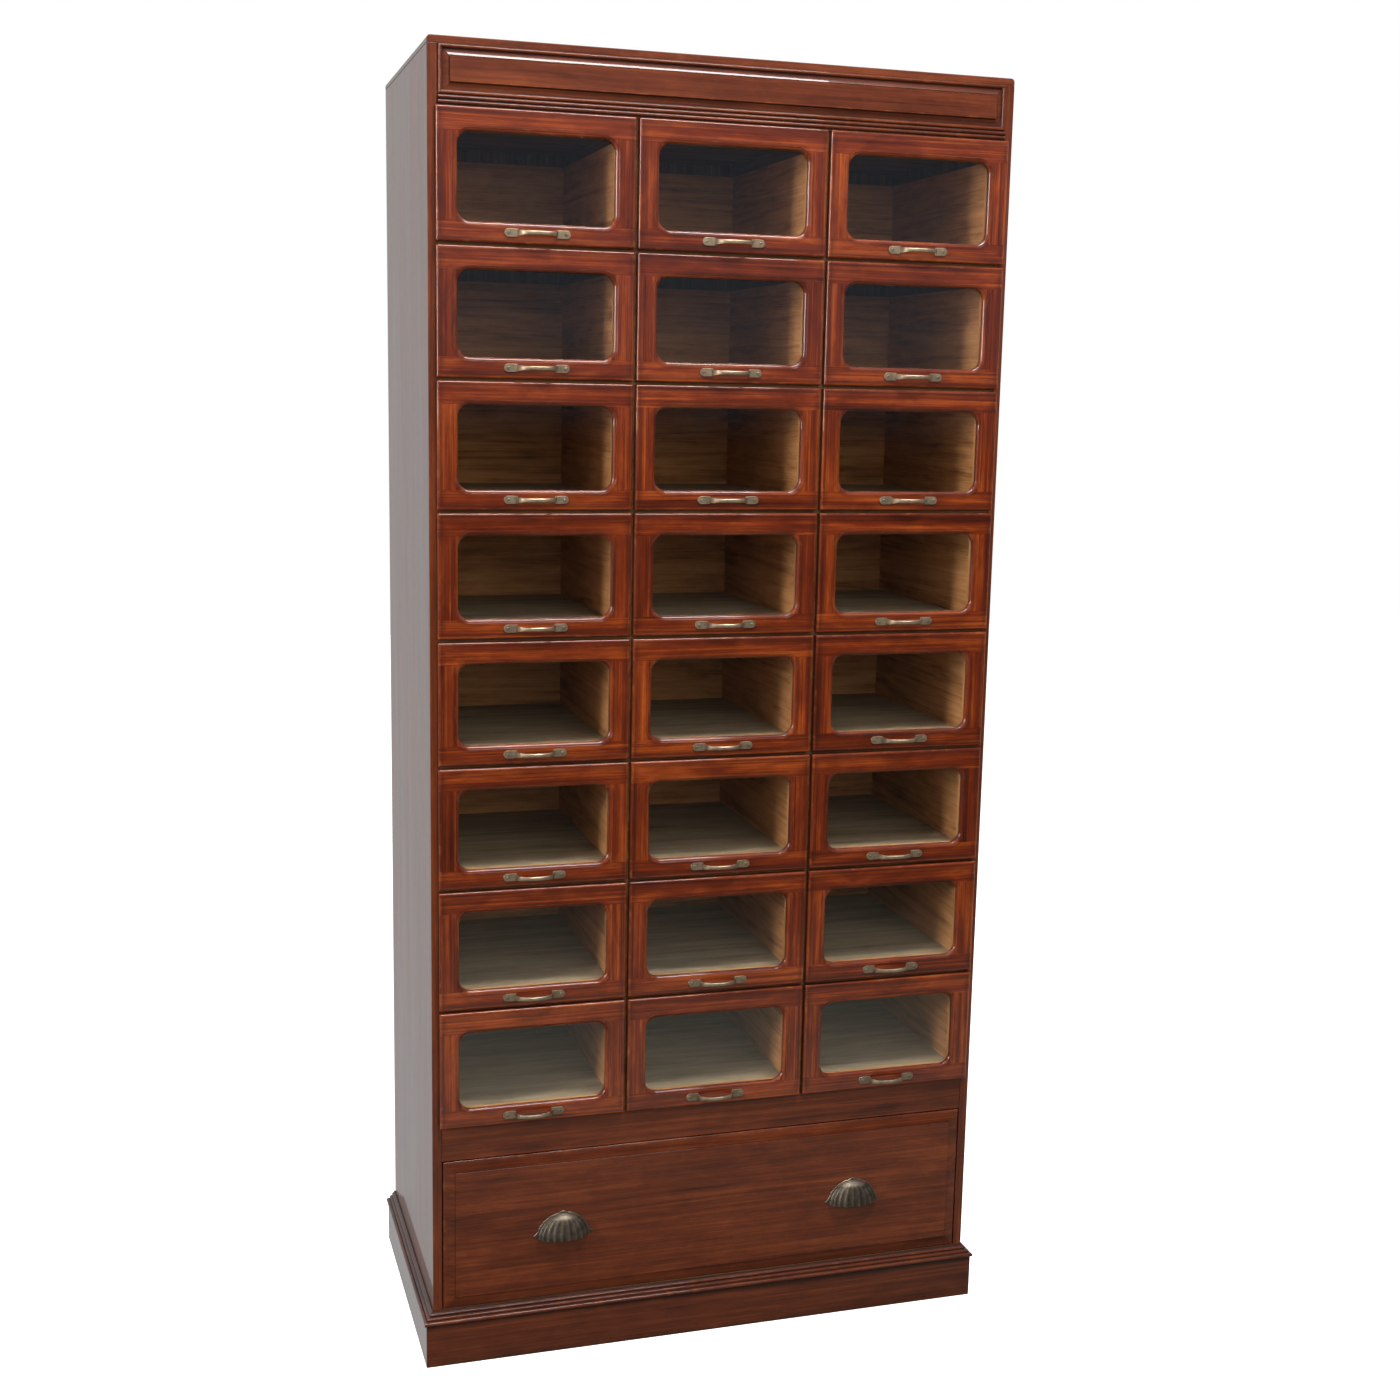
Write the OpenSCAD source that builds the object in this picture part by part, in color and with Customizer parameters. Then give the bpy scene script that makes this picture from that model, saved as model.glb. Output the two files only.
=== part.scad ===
// Tall mahogany shop cabinet: glass-fronted small drawers over one wide drawer, on a moulded plinth.
// The frame is +Z up with the front facing -Y, and the origin is under the middle of the whole box.

/* [Overall] */
// Width over the side panels
cab_w = 980; // [810:5:1180]
// Height from the floor to the top
cab_h = 2170; // [1800:5:2610]
// Depth from the front edges of the sides to the back
cab_d = 486; // [400:1:590]

/* [Carcass] */
// Thickness of each side panel
side_t = 16; // [14:1:25]
// Thickness of the top board
top_t = 11; // [9:0.5:20]
// Rounding of the top board's two upper ends
top_round = 7; // [2:0.5:8]
// Thickness of the upright partitions and of the rails between rows
partition_t = 14; // [11:0.5:20]
// Thickness of the three cross boards
cross_t = 14; // [10:0.5:18]
// Thickness of the back boards
back_t = 8; // [5:0.5:12]
// Number of back boards
back_count = 6; // [4:1:8]
// Depth of the rails between rows, front to back
row_rail_d = 40; // [25:1:80]
// Width of the side runners
runner_w = 20; // [12:1:30]

/* [Plinth] */
// Height of the plinth boards
plinth_board_h = 76; // [60:1:100]
// Thickness of the plinth boards
plinth_board_t = 25; // [20:0.5:32]
// How far the plinth boards stand out from the carcass
plinth_out = 13.5; // [9:0.5:20]
// Height of the moulding on top of the plinth boards
moulding_h = 21; // [18:0.5:34]
// Radius of the moulding's nose
nose_r = 3.6; // [2.5:0.1:5]
// Radius of the moulding's two beads
bead_r = 2.4; // [1.6:0.1:3.2]

/* [Head] */
// Height of the frieze panel
frieze_h = 75; // [60:1:110]
// Thickness of the frieze board
frieze_t = 16; // [10:0.5:22]
// Width of the frieze's moulded border
frieze_border = 19; // [10:0.5:24]
// How far the frieze's field stands out
frieze_out = 5; // [3:0.5:7]
// Height of the reeded strip under the frieze
reed_h = 14; // [10:0.5:20]
// Thickness of the reeded strip's flat back
reed_t = 3.5; // [2:0.1:5]

/* [Small drawers] */
// Gap between neighbouring drawer fronts
front_gap = 5; // [3:0.5:8]
// Thickness of the lip that overlaps the carcass
lip_t = 12; // [10:0.5:16]
// Space between the lip and the carcass
lip_clear = 0.5; // [0.4:0.1:1.5]
// Thickness of the front's tongue behind the lip
tongue_t = 8.5; // [6:0.5:14]
// Space around the tongue
tongue_clear = 1; // [0.6:0.1:2]
// Height of the front's top rail, down to the window
top_rail_h = 30.5; // [22:0.5:45]
// Height of the front's bottom rail, up to the window
bottom_rail_h = 26; // [24:0.5:45]
// Width of the front's stiles, up to the window
stile_w = 27.5; // [22:0.5:45]
// Corner radius of the window
window_r = 25; // [12:0.5:32]
// Width of the step around the window
ovolo_w = 5.5; // [3:0.5:8]
// Depth of the step around the window
ovolo_d = 5.5; // [3:0.5:6]
// Thickness of the sight edge in front of the glass
sight_t = 4; // [2.5:0.5:5]
// Thickness of the glass
pane_t = 3; // [2:0.5:4]
// How far the glass laps behind the sight edge
pane_lap = 7; // [5:0.5:10]
// Width of the strips that hold the glass
strip_w = 6; // [4:0.5:9]
// Thickness of the drawer's sides and back
box_t = 10; // [7:0.5:14]
// Space above the drawer's sides
box_head = 27; // [8:1:60]
// Space behind every drawer box
rear_space = 30; // [8:1:120]
// Thickness of the drawer's bottom
box_floor_t = 5; // [3:0.5:9]
// Height of the drawer's bottom above its sides' lower edges
box_floor_up = 8; // [4:0.5:15]
// Space beside and below the drawer box
box_clear = 2; // [1:0.1:4]

/* [Small pulls] */
// Width of a pull over its feet
pull_w = 105; // [85:1:125]
// Width of one foot
foot_w = 22; // [18:0.5:26]
// Height of one foot
foot_h = 13; // [10:0.5:16]
// Thickness of one foot
foot_t = 2.5; // [1.5:0.1:4]
// How far the grip stands out from the drawer front
pull_reach = 21.5; // [16:0.5:26]
// Height of the grip
grip_h = 6.5; // [5:0.1:9]
// Thickness of the grip
grip_t = 4.5; // [3:0.1:6]
// Space between the pull's feet and the window above
pull_margin = 3; // [1:0.5:5]
// Radius of the screw heads in the feet
pull_screw_r = 2.6; // [1.8:0.1:3.5]

/* [Bottom drawer] */
// Height of the opening for the bottom drawer
base_open_h = 266; // [200:1:320]
// Height of the rail above the bottom drawer, as seen
lower_rail_h = 59; // [35:1:80]
// Thickness of that rail
lower_rail_t = 20; // [14:0.5:30]
// Thickness of the bottom drawer's front board
base_front_t = 15; // [12:0.5:22]
// Space around the bottom drawer's front
base_clear = 1.5; // [1:0.1:3]
// Width of the sloping border
base_border = 20; // [12:0.5:30]
// How far the middle field stands out
field_out = 5; // [3:0.5:7]
// Height of the small step round the field
field_step = 1.5; // [0.5:0.1:2.5]
// Thickness of the bottom drawer's sides and back
base_box_t = 12; // [9:0.5:16]
// Space above the bottom drawer's sides
base_head = 41; // [10:1:120]
// Thickness of the bottom drawer's floor
base_floor_t = 7; // [5:0.5:10]

/* [Cup pulls] */
// Distance between the two cup pulls' middles
cup_spread = 533; // [300:1:640]
// Width of the hollow shell
cup_shell_w = 90; // [68:1:110]
// How far each tip reaches past the shell
cup_tip = 7.5; // [6:0.5:12]
// Height of the shell
cup_h = 42; // [30:1:55]
// How far the shell stands out
cup_out = 24; // [18:0.5:30]
// Wall of the shell
cup_wall = 2; // [1.5:0.1:3]
// Width of the flange round the shell
cup_flange = 4; // [2:0.5:6]
// Thickness of the flange
cup_flange_t = 1.6; // [1:0.1:2.5]
// Radius of the screw heads in the tips
cup_screw_r = 1.8; // [1.2:0.1:2.5]

/* [Hidden] */
rows = 8;
cols = 3;
$fn = 64;
joint = 0.2;         // glue line between the pieces of one sub-part
big = 4000;          // longer than any part
col_names = ["left", "middle", "right"];
function drawer_name(r, c) = str("drawer_", r, "_", col_names[c]);
function pane_name(r, c) = str("pane_", r, "_", col_names[c]);
DRAWERS = [for (r = [1:rows]) for (c = [0:cols - 1]) drawer_name(r, c)];
PANES = [for (r = [1:rows]) for (c = [0:cols - 1]) pane_name(r, c)];

mahogany = "#7a3218";
dark_mahogany = "#5c2412";
pine = "#b98a4e";
pane_colour = "#9fb0a8";
old_brass = "#8c7a58";

// Levels
plinth_h = plinth_board_h + moulding_h;
base_top = plinth_h + base_open_h;
rows_bottom = base_top + lower_rail_h;
rows_top = cab_h - top_t - frieze_h - reed_h;
row_pitch = (rows_top - rows_bottom) / rows;
under_top = cab_h - top_t;

// Widths
inner_w = cab_w - 2 * side_t;
open_w = (inner_w - (cols - 1) * partition_t) / cols;
open_h = row_pitch - partition_t;
lip = (partition_t - front_gap) / 2;
col_pitch = open_w + partition_t;
front_w = open_w + 2 * lip;
front_h = open_h + 2 * lip;
inner_d = cab_d - back_t;

// Depths, from the carcass front at 0
lip_front = -(lip_t + lip_clear);
front_back = lip_front + lip_t + tongue_t;
sight_back = lip_front + ovolo_d + sight_t;
box_len = inner_d - rear_space - front_back - joint;
base_box_len = inner_d - rear_space - base_front_t - joint;

// Heights of the drawer boxes and of the pulls, and the cup pulls' width
box_h = open_h - box_head;
base_box_h = base_open_h - base_head;
pull_up = bottom_rail_h - foot_h / 2 - pull_margin;
cup_w = cup_shell_w + 2 * cup_tip;

// The window and the glass, about the front's middle
sight_w = front_w - 2 * (stile_w + ovolo_w);
sight_h = front_h - top_rail_h - bottom_rail_h - 2 * ovolo_w;
sight_z = (bottom_rail_h - top_rail_h) / 2;
sight_r = window_r - ovolo_w;
pane_w = sight_w + 2 * pane_lap;
pane_h = sight_h + 2 * pane_lap;

// The whole box runs from the pulls to the back, so this puts its middle on the origin
front_reach = max(pull_reach - lip_front, cup_out + field_out);
shift_y = (front_reach - cab_d) / 2;

function level(k) = rows_bottom + k * row_pitch;            // middle of the rail under row 8 - k
function front_z(r) = level(rows - r) + row_pitch / 2;      // middle of a front in row r
function col_x(c) = (c - (cols - 1) / 2) * col_pitch;
function arc(x, y, r, from, to, n = 6) =
    [for (i = [0:n]) let (a = from + (to - from) * i / n) [x + r * cos(a), y + r * sin(a)]];

// ---- helpers ----

// A box by its lowest and highest corners
module block(lo, hi) translate(lo) cube(hi - lo);

// A rounded rectangle standing in the XZ plane, from y to y + t
module window_slab(w, h, r, y, t)
    translate([0, y, 0]) union() {
        block([-w / 2 + r, 0, -h / 2], [w / 2 - r, t, h / 2]);
        block([-w / 2, 0, -h / 2 + r], [w / 2, t, h / 2 - r]);
        for (sx = [-1, 1]) for (sz = [-1, 1])
            translate([sx * (w / 2 - r), t, sz * (h / 2 - r)]) rotate([90, 0, 0]) cylinder(r = r, h = t);
    }

// A board facing -Y whose border follows a profile of [inset, out] points, mitred at the corners
module fielded(w, h, t, profile) {
    n = len(profile);
    function edge(half) = concat([for (p = profile) [-half + p[0], -p[1]]],
                                 [for (i = [n - 1:-1:0]) [half - profile[i][0], -profile[i][1]]],
                                 [[half, t], [-half, t]]);
    intersection() {
        translate([0, 0, -h / 2]) linear_extrude(h) polygon(edge(w / 2));
        translate([-w / 2, 0, 0]) rotate([90, 0, 90]) linear_extrude(w)
            polygon([for (p = edge(h / 2)) [p[1], p[0]]]);
    }
}

// A three-sided skirt round the carcass foot with the outline of its children, mitred at the front
module skirt(z, h, out) {
    intersection() {
        translate([-big / 2, 0, z]) rotate([90, 0, 90]) linear_extrude(big) union() {
            mirror([1, 0]) children();
            square([cab_d, h]);
        }
        translate([0, cab_d, z]) rotate([90, 0, 0]) linear_extrude(cab_d + out) union() {
            translate([cab_w / 2, 0]) children();
            mirror([1, 0]) translate([cab_w / 2, 0]) children();
            translate([-cab_w / 2, 0]) square([cab_w, h]);
        }
    }
}

// The cuts that part a skirt at its two mitres
module mitre_cuts(z, h)
    for (s = [-1, 1]) translate([s * cab_w / 2, 0, z]) rotate([0, 0, s * 45])
        translate([-joint / 2, -big / 2, 0]) cube([joint, big, h]);

// ---- carcass ----

module side_panel(s) color(mahogany)
    block([s > 0 ? inner_w / 2 : -cab_w / 2, 0, plinth_board_h],
          [s > 0 ? cab_w / 2 : -inner_w / 2, cab_d, under_top]);

module top_board() color(mahogany)
    translate([0, cab_d, under_top]) rotate([90, 0, 0]) linear_extrude(cab_d)
        polygon(concat([[-cab_w / 2, 0], [cab_w / 2, 0]],
                       arc(cab_w / 2 - top_round, top_t - top_round, top_round, 0, 90),
                       arc(-cab_w / 2 + top_round, top_t - top_round, top_round, 90, 180)));

// Each one is given as [top, front edge]: the bottom, the deck behind the lower rail, the head over row 1
module cross_boards() color(pine)
    for (board = [[plinth_h, 0], [level(0) + partition_t / 2, lower_rail_t],
                  [level(rows) - partition_t / 2 + cross_t, 0]])
        block([-inner_w / 2, board[1], board[0] - cross_t], [inner_w / 2, inner_d, board[0]]);

module back_boards() color(pine) {
    board_w = (inner_w - (back_count - 1) * joint) / back_count;
    for (i = [0:back_count - 1]) let (x = -inner_w / 2 + i * (board_w + joint))
        block([x, inner_d, plinth_board_h], [x + board_w, cab_d, under_top]);
}

module partitions() color(pine)
    for (s = [-1, 1])
        block([s * col_pitch / 2 - partition_t / 2, 0, level(0) + partition_t / 2],
              [s * col_pitch / 2 + partition_t / 2, inner_d, level(rows) - partition_t / 2]);

// A rail across the front and a runner down each side, at every level between two rows
module drawer_runners() color(pine)
    for (k = [1:rows - 1]) for (c = [0:cols - 1]) translate([col_x(c), 0, level(k)]) {
        block([-open_w / 2, 0, -partition_t / 2], [open_w / 2, row_rail_d - joint, partition_t / 2]);
        for (s = [-1, 1]) translate([s * (open_w - runner_w) / 2, 0, 0])
            block([-runner_w / 2, row_rail_d, -partition_t / 2], [runner_w / 2, inner_d, partition_t / 2]);
    }

// The plain rail between row 8 and the bottom drawer
module lower_rail() color(mahogany)
    block([-inner_w / 2, 0, base_top], [inner_w / 2, lower_rail_t, level(0) + partition_t / 2]);

// ---- frieze and plinth ----

// Outer fillet, ovolo, cove and a sharp edge up to the field
frieze_profile = concat([[0, 0], [frieze_border * 0.15, 0]],
    [for (p = arc(0, 0, 1, 180, 90))
        [frieze_border * (0.15 + 0.3 * (1 + p[0])), 0.5 * frieze_out * p[1]]],
    [for (p = arc(1, 1, 1, -90, -180, 4))
        [frieze_border * (0.5 + 0.45 * (1 - p[0])), 0.5 * frieze_out * (1 - 0.8 * p[1])]],
    [[frieze_border, 0.2 * frieze_out], [frieze_border, frieze_out]]);

module frieze() color(mahogany) {
    translate([0, 0, under_top - frieze_h / 2])
        fielded(inner_w, frieze_h, frieze_t, frieze_profile);
    // reeded strip: two beads on a flat, in front of the head board
    translate([-inner_w / 2, -joint, rows_top]) rotate([90, 0, 90]) linear_extrude(inner_w) union() {
        translate([-reed_t, 0]) square([reed_t, reed_h - joint]);
        for (i = [0, 1])
            translate([-reed_t, (0.25 + 0.5 * i) * (reed_h - joint)]) circle(r = 0.2 * reed_h);
    }
}

module moulding_outline() {
    step = (moulding_h - 2 * nose_r) / 3;
    nose_x = plinth_out;
    bead_x = nose_x * 2 / 3;
    polygon([[0, 0], [nose_x, 0], [nose_x, 2 * nose_r], [bead_x, 2 * nose_r],
             [nose_x / 3, 2 * nose_r + 2 * step], [nose_x / 6, moulding_h], [0, moulding_h]]);
    translate([nose_x, nose_r]) circle(r = nose_r);
    translate([bead_x, 2 * nose_r + step * 0.55]) circle(r = bead_r);
    translate([nose_x / 3, 2 * nose_r + step * 1.75]) circle(r = bead_r);
}

module plinth() color(dark_mahogany) {
    // boards on three sides, mitred at the front, and a plain one across the back
    difference() {
        skirt(0, plinth_board_h - joint, plinth_out) square([plinth_out, plinth_board_h - joint]);
        block([-cab_w / 2 + plinth_board_t - plinth_out, plinth_board_t - plinth_out, -1],
              [cab_w / 2 - plinth_board_t + plinth_out, big, plinth_board_h]);
        mitre_cuts(0, plinth_board_h);
    }
    translate([0, cab_d - plinth_board_t, 0])
        block([-cab_w / 2 + plinth_board_t - plinth_out + joint, 0, 0],
              [cab_w / 2 - plinth_board_t + plinth_out - joint, plinth_board_t, plinth_board_h - joint]);
    // the moulding planted on top of them
    difference() {
        skirt(plinth_board_h, moulding_h, plinth_out + nose_r) moulding_outline();
        block([-cab_w / 2, 0, 0], [cab_w / 2, big, cab_h]);
        mitre_cuts(plinth_board_h, moulding_h);
    }
}

// ---- small drawers ----

// The four members of a front share this outline: a lip all round, a tongue, the window and the rebate
module front_outline() difference() {
    union() {
        block([-front_w / 2, lip_front, -front_h / 2], [front_w / 2, lip_front + lip_t, front_h / 2]);
        block([-open_w / 2 + tongue_clear, lip_front, -open_h / 2 + tongue_clear],
              [open_w / 2 - tongue_clear, front_back, open_h / 2 - tongue_clear]);
    }
    translate([0, 0, sight_z]) {
        window_slab(sight_w, sight_h, sight_r, lip_front - 1, front_back - lip_front + 2);
        window_slab(sight_w + 2 * ovolo_w, sight_h + 2 * ovolo_w, window_r, lip_front - 1, ovolo_d + 1);
        block([-pane_w / 2 - joint, sight_back, -pane_h / 2 - joint],
              [pane_w / 2 + joint, big, pane_h / 2 + joint]);
    }
}

// Rails run the full width and the stiles stand between them
module front_frame() {
    lower = sight_z - sight_h / 2;
    upper = sight_z + sight_h / 2;
    for (span = [[-front_h, lower], [upper, front_h]])
        intersection() {
            front_outline();
            block([-front_w, -big, span[0]], [front_w, big, span[1]]);
        }
    for (s = [-1, 1])
        intersection() {
            front_outline();
            translate([s * front_w / 2, 0, 0])
                block([-front_w / 3, -big, lower + joint], [front_w / 3, big, upper - joint]);
        }
}

module glass_strips() {
    y = [sight_back + pane_t + 2 * joint, front_back - joint];
    for (s = [-1, 1]) {
        translate([0, 0, s * (pane_h - strip_w) / 2])
            block([-pane_w / 2, y[0], -strip_w / 2], [pane_w / 2, y[1], strip_w / 2]);
        translate([s * (pane_w - strip_w) / 2, 0, 0])
            block([-strip_w / 2, y[0], -pane_h / 2 + strip_w + joint],
                  [strip_w / 2, y[1], pane_h / 2 - strip_w - joint]);
    }
}

// An open box behind a front, w wide outside, standing on z = 0
module drawer_box(w, h, len, t, floor_t, floor_up) {
    for (s = [-1, 1]) translate([s * (w - t) / 2, 0, 0]) block([-t / 2, 0, 0], [t / 2, len, h]);
    block([-w / 2 + t + joint, len - t, 0], [w / 2 - t - joint, len, h]);
    block([-w / 2 + t + joint, 0, floor_up], [w / 2 - t - joint, len - t - joint, floor_up + floor_t]);
}

module screw_head(r) difference() {
    cylinder(r = r, h = r / 3, $fn = 24);
    translate([-r, -r / 8, r / 6]) cube([2 * r, r / 4, r]);
}

// Two feet joined by a bowed grip; the drawer face is at y = 0
module pull() {
    half = pull_w / 2 - foot_w;
    rise = pull_reach - foot_t / 2 - grip_t / 2;
    bow_r = (half * half + rise * rise) / (2 * rise);
    sweep = asin(half / bow_r);
    grip = 0.3 * grip_h;
    union() {
        for (s = [-1, 1]) translate([s * half, -joint, 0]) {
            block([min(0, s * (foot_w - foot_h / 2)), -foot_t, -foot_h / 2],
                  [max(0, s * (foot_w - foot_h / 2)), 0, foot_h / 2]);
            translate([s * (foot_w - foot_h / 2), 0, 0])
                rotate([90, 0, 0]) cylinder(r = foot_h / 2, h = foot_t);
            translate([s * grip_t / 2, -foot_t, 0])
                block([-grip_t / 2, -grip_t / 2, -foot_h * 0.42], [grip_t / 2, 0, foot_h * 0.42]);
        }
        translate([0, -pull_reach + grip_t / 2 + bow_r, 0]) rotate([0, 0, -90 - sweep])
            rotate_extrude(angle = 2 * sweep) translate([bow_r, 0])
                polygon([[-grip_t / 2, -grip], [grip - grip_t / 2, -grip_h / 2], [grip_t / 2 - grip, -grip_h / 2],
                         [grip_t / 2, -grip], [grip_t / 2, grip], [grip_t / 2 - grip, grip_h / 2],
                         [grip - grip_t / 2, grip_h / 2], [-grip_t / 2, grip]]);
    }
}

module small_drawer(r, c) translate([col_x(c), 0, front_z(r)]) {
    color(mahogany) front_frame();
    color(pine) translate([0, 0, sight_z]) glass_strips();
    color(pine) translate([0, front_back + joint, -open_h / 2 + box_clear])
        drawer_box(open_w - 2 * box_clear, box_h, box_len, box_t, box_floor_t, box_floor_up);
    color(old_brass) translate([0, lip_front, pull_up - front_h / 2]) {
        pull();
        for (s = [-1, 1])
            translate([s * (pull_w / 2 - foot_h / 2 - 1), -foot_t - 2 * joint, 0])
                rotate([90, 0, 0]) screw_head(pull_screw_r);
    }
}

module pane(r, c) color(pane_colour)
    translate([col_x(c), sight_back + joint, front_z(r) + sight_z])
        block([-pane_w / 2, 0, -pane_h / 2], [pane_w / 2, pane_t, pane_h / 2]);

// ---- bottom drawer ----

base_mid = plinth_h + base_open_h / 2;
base_profile = [[0, 0], [base_border, field_out - field_step], [base_border, field_out]];

module bottom_drawer() {
    color(mahogany) translate([0, 0, base_mid])
        fielded(inner_w - 2 * base_clear, base_open_h - 2 * base_clear, base_front_t, base_profile);
    color(pine) translate([0, base_front_t + joint, plinth_h + base_clear])
        drawer_box(inner_w - 2 * box_clear, base_box_h, base_box_len, base_box_t, base_floor_t, box_floor_up);
}

// A quarter of an egg, hollow and open below, with a flange and two tips against the drawer face
module cup() {
    a = cup_shell_w / 2;
    difference() {
        scale([a, cup_out, cup_h]) sphere(1, $fn = 40);
        scale([a - cup_wall, cup_out - cup_wall, cup_h - cup_wall]) sphere(1, $fn = 40);
        block([-big, 0, -big], [big, big, big]);
        block([-big, -big, -big], [big, big, 0]);
    }
    rotate([90, 0, 0]) linear_extrude(cup_flange_t) difference() {
        union() {
            scale([a + cup_flange, cup_h + cup_flange]) circle(1, $fn = 48);
            polygon([[-cup_w / 2, cup_flange], [-a, 0], [a, 0], [cup_w / 2, cup_flange],
                     [a - cup_flange, 3 * cup_flange], [-a + cup_flange, 3 * cup_flange]]);
        }
        scale([a - cup_wall, cup_h - cup_wall]) circle(1, $fn = 48);
        translate([-big, -big]) square([2 * big, big]);
    }
}

module cup_pulls() color(old_brass)
    for (s = [-1, 1]) translate([s * cup_spread / 2, -field_out - joint, base_mid - cup_h / 2]) {
        cup();
        for (e = [-1, 1])
            translate([e * (cup_w / 2 - cup_flange), -cup_flange_t - joint, cup_flange])
                rotate([90, 0, 0]) screw_head(cup_screw_r);
    }

// ---- assembly ----

module placed() translate([0, shift_y, 0]) children();

placed() side_panel(-1);  // left_side
placed() side_panel(1);  // right_side
placed() top_board();
placed() cross_boards();
placed() back_boards();
placed() frieze();
placed() partitions();
placed() drawer_runners();
placed() lower_rail();
placed() plinth();
placed() bottom_drawer();
placed() cup_pulls();
for (r = [1:rows]) for (c = [0:cols - 1]) {
    placed() small_drawer(r, c);
    placed() pane(r, c);
}
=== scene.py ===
"""A tall mahogany shop cabinet: glass-fronted drawers in three columns over one wide drawer."""

import logging
import math
import random
from dataclasses import dataclass, field
from enum import Enum

import bmesh
import bpy
from mathutils import Euler, Matrix, Vector


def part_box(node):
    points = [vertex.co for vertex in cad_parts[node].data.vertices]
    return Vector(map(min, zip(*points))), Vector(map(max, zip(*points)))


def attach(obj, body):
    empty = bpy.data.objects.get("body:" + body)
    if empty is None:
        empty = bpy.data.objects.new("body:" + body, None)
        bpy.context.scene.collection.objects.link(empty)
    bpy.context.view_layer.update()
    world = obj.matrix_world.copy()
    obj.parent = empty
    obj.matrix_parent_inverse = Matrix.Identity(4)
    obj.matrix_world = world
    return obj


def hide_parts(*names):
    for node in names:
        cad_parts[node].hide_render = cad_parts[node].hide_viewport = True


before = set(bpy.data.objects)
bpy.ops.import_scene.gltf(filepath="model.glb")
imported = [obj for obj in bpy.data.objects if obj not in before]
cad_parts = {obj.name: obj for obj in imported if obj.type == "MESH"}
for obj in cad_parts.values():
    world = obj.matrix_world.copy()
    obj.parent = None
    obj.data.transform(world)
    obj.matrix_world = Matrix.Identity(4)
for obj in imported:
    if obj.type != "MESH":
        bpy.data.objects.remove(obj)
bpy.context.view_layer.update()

MM = 0.001
ROWS = 8
COLUMNS = ("left", "middle", "right")
CARCASS = "carcass"
GLUE_LINE = 0.1 * MM
CORNER_STEPS = 8
SHARP_ANGLE = math.radians(32)
MERGE_GAP = 0.001 * MM
GRAIN_SPREAD = 40.0
FACTOR = 0
FIRST_COLOUR = 6
SECOND_COLOUR = 7
MIXED_COLOUR = 2

Colour = tuple[float, float, float]
log = logging.getLogger("cabinet")


class Axis(Enum):
    """The way that the grain of a board runs."""

    X = 0
    Y = 1
    Z = 2


class Coordinates(Enum):
    """Where a finish takes its pattern's place from."""

    GRAIN = "the board's own grain"
    LEVEL = "a board across the cabinet with no grain of its own"
    DEEP = "a board from front to back with no grain of its own"


# ---------------------------------------------------------------- shader tools


class Value:
    """A socket of a node tree whose operators add Math nodes."""

    def __init__(self, tree: "Tree", socket: bpy.types.NodeSocket) -> None:
        """Keeps the tree and the socket.

        Args:
            tree: The tree that the socket is in.
            socket: An output socket.
        """
        self.tree = tree
        self.socket = socket

    def _math(self, operation: str, first: object, second: object) -> "Value":
        """Adds one Math node.

        Args:
            operation: The node's operation.
            first: Its first value.
            second: Its second value.

        Returns:
            The node's result.
        """
        return self.tree.node("ShaderNodeMath", {"operation": operation}, {0: first, 1: second})

    def __add__(self, other: object) -> "Value":
        """Adds."""
        return self._math("ADD", self, other)

    def __radd__(self, other: object) -> "Value":
        """Adds, from the right."""
        return self._math("ADD", other, self)

    def __sub__(self, other: object) -> "Value":
        """Subtracts."""
        return self._math("SUBTRACT", self, other)

    def __rsub__(self, other: object) -> "Value":
        """Subtracts from a number."""
        return self._math("SUBTRACT", other, self)

    def __mul__(self, other: object) -> "Value":
        """Multiplies."""
        return self._math("MULTIPLY", self, other)

    def __rmul__(self, other: object) -> "Value":
        """Multiplies, from the right."""
        return self._math("MULTIPLY", other, self)

    def between(self, low: float, high: float) -> "Value":
        """Rises smoothly from 0 at low to 1 at high.

        Args:
            low: The value that gives 0.
            high: The value that gives 1.

        Returns:
            The smoothed step.
        """
        settings = {"interpolation_type": "SMOOTHSTEP"}
        return self.tree.node("ShaderNodeMapRange", settings,
                              {"Value": self, "From Min": low, "From Max": high})

    def clipped(self) -> "Value":
        """Keeps the value from 0 to 1."""
        return self.tree.node("ShaderNodeClamp", {}, {"Value": self})


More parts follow.
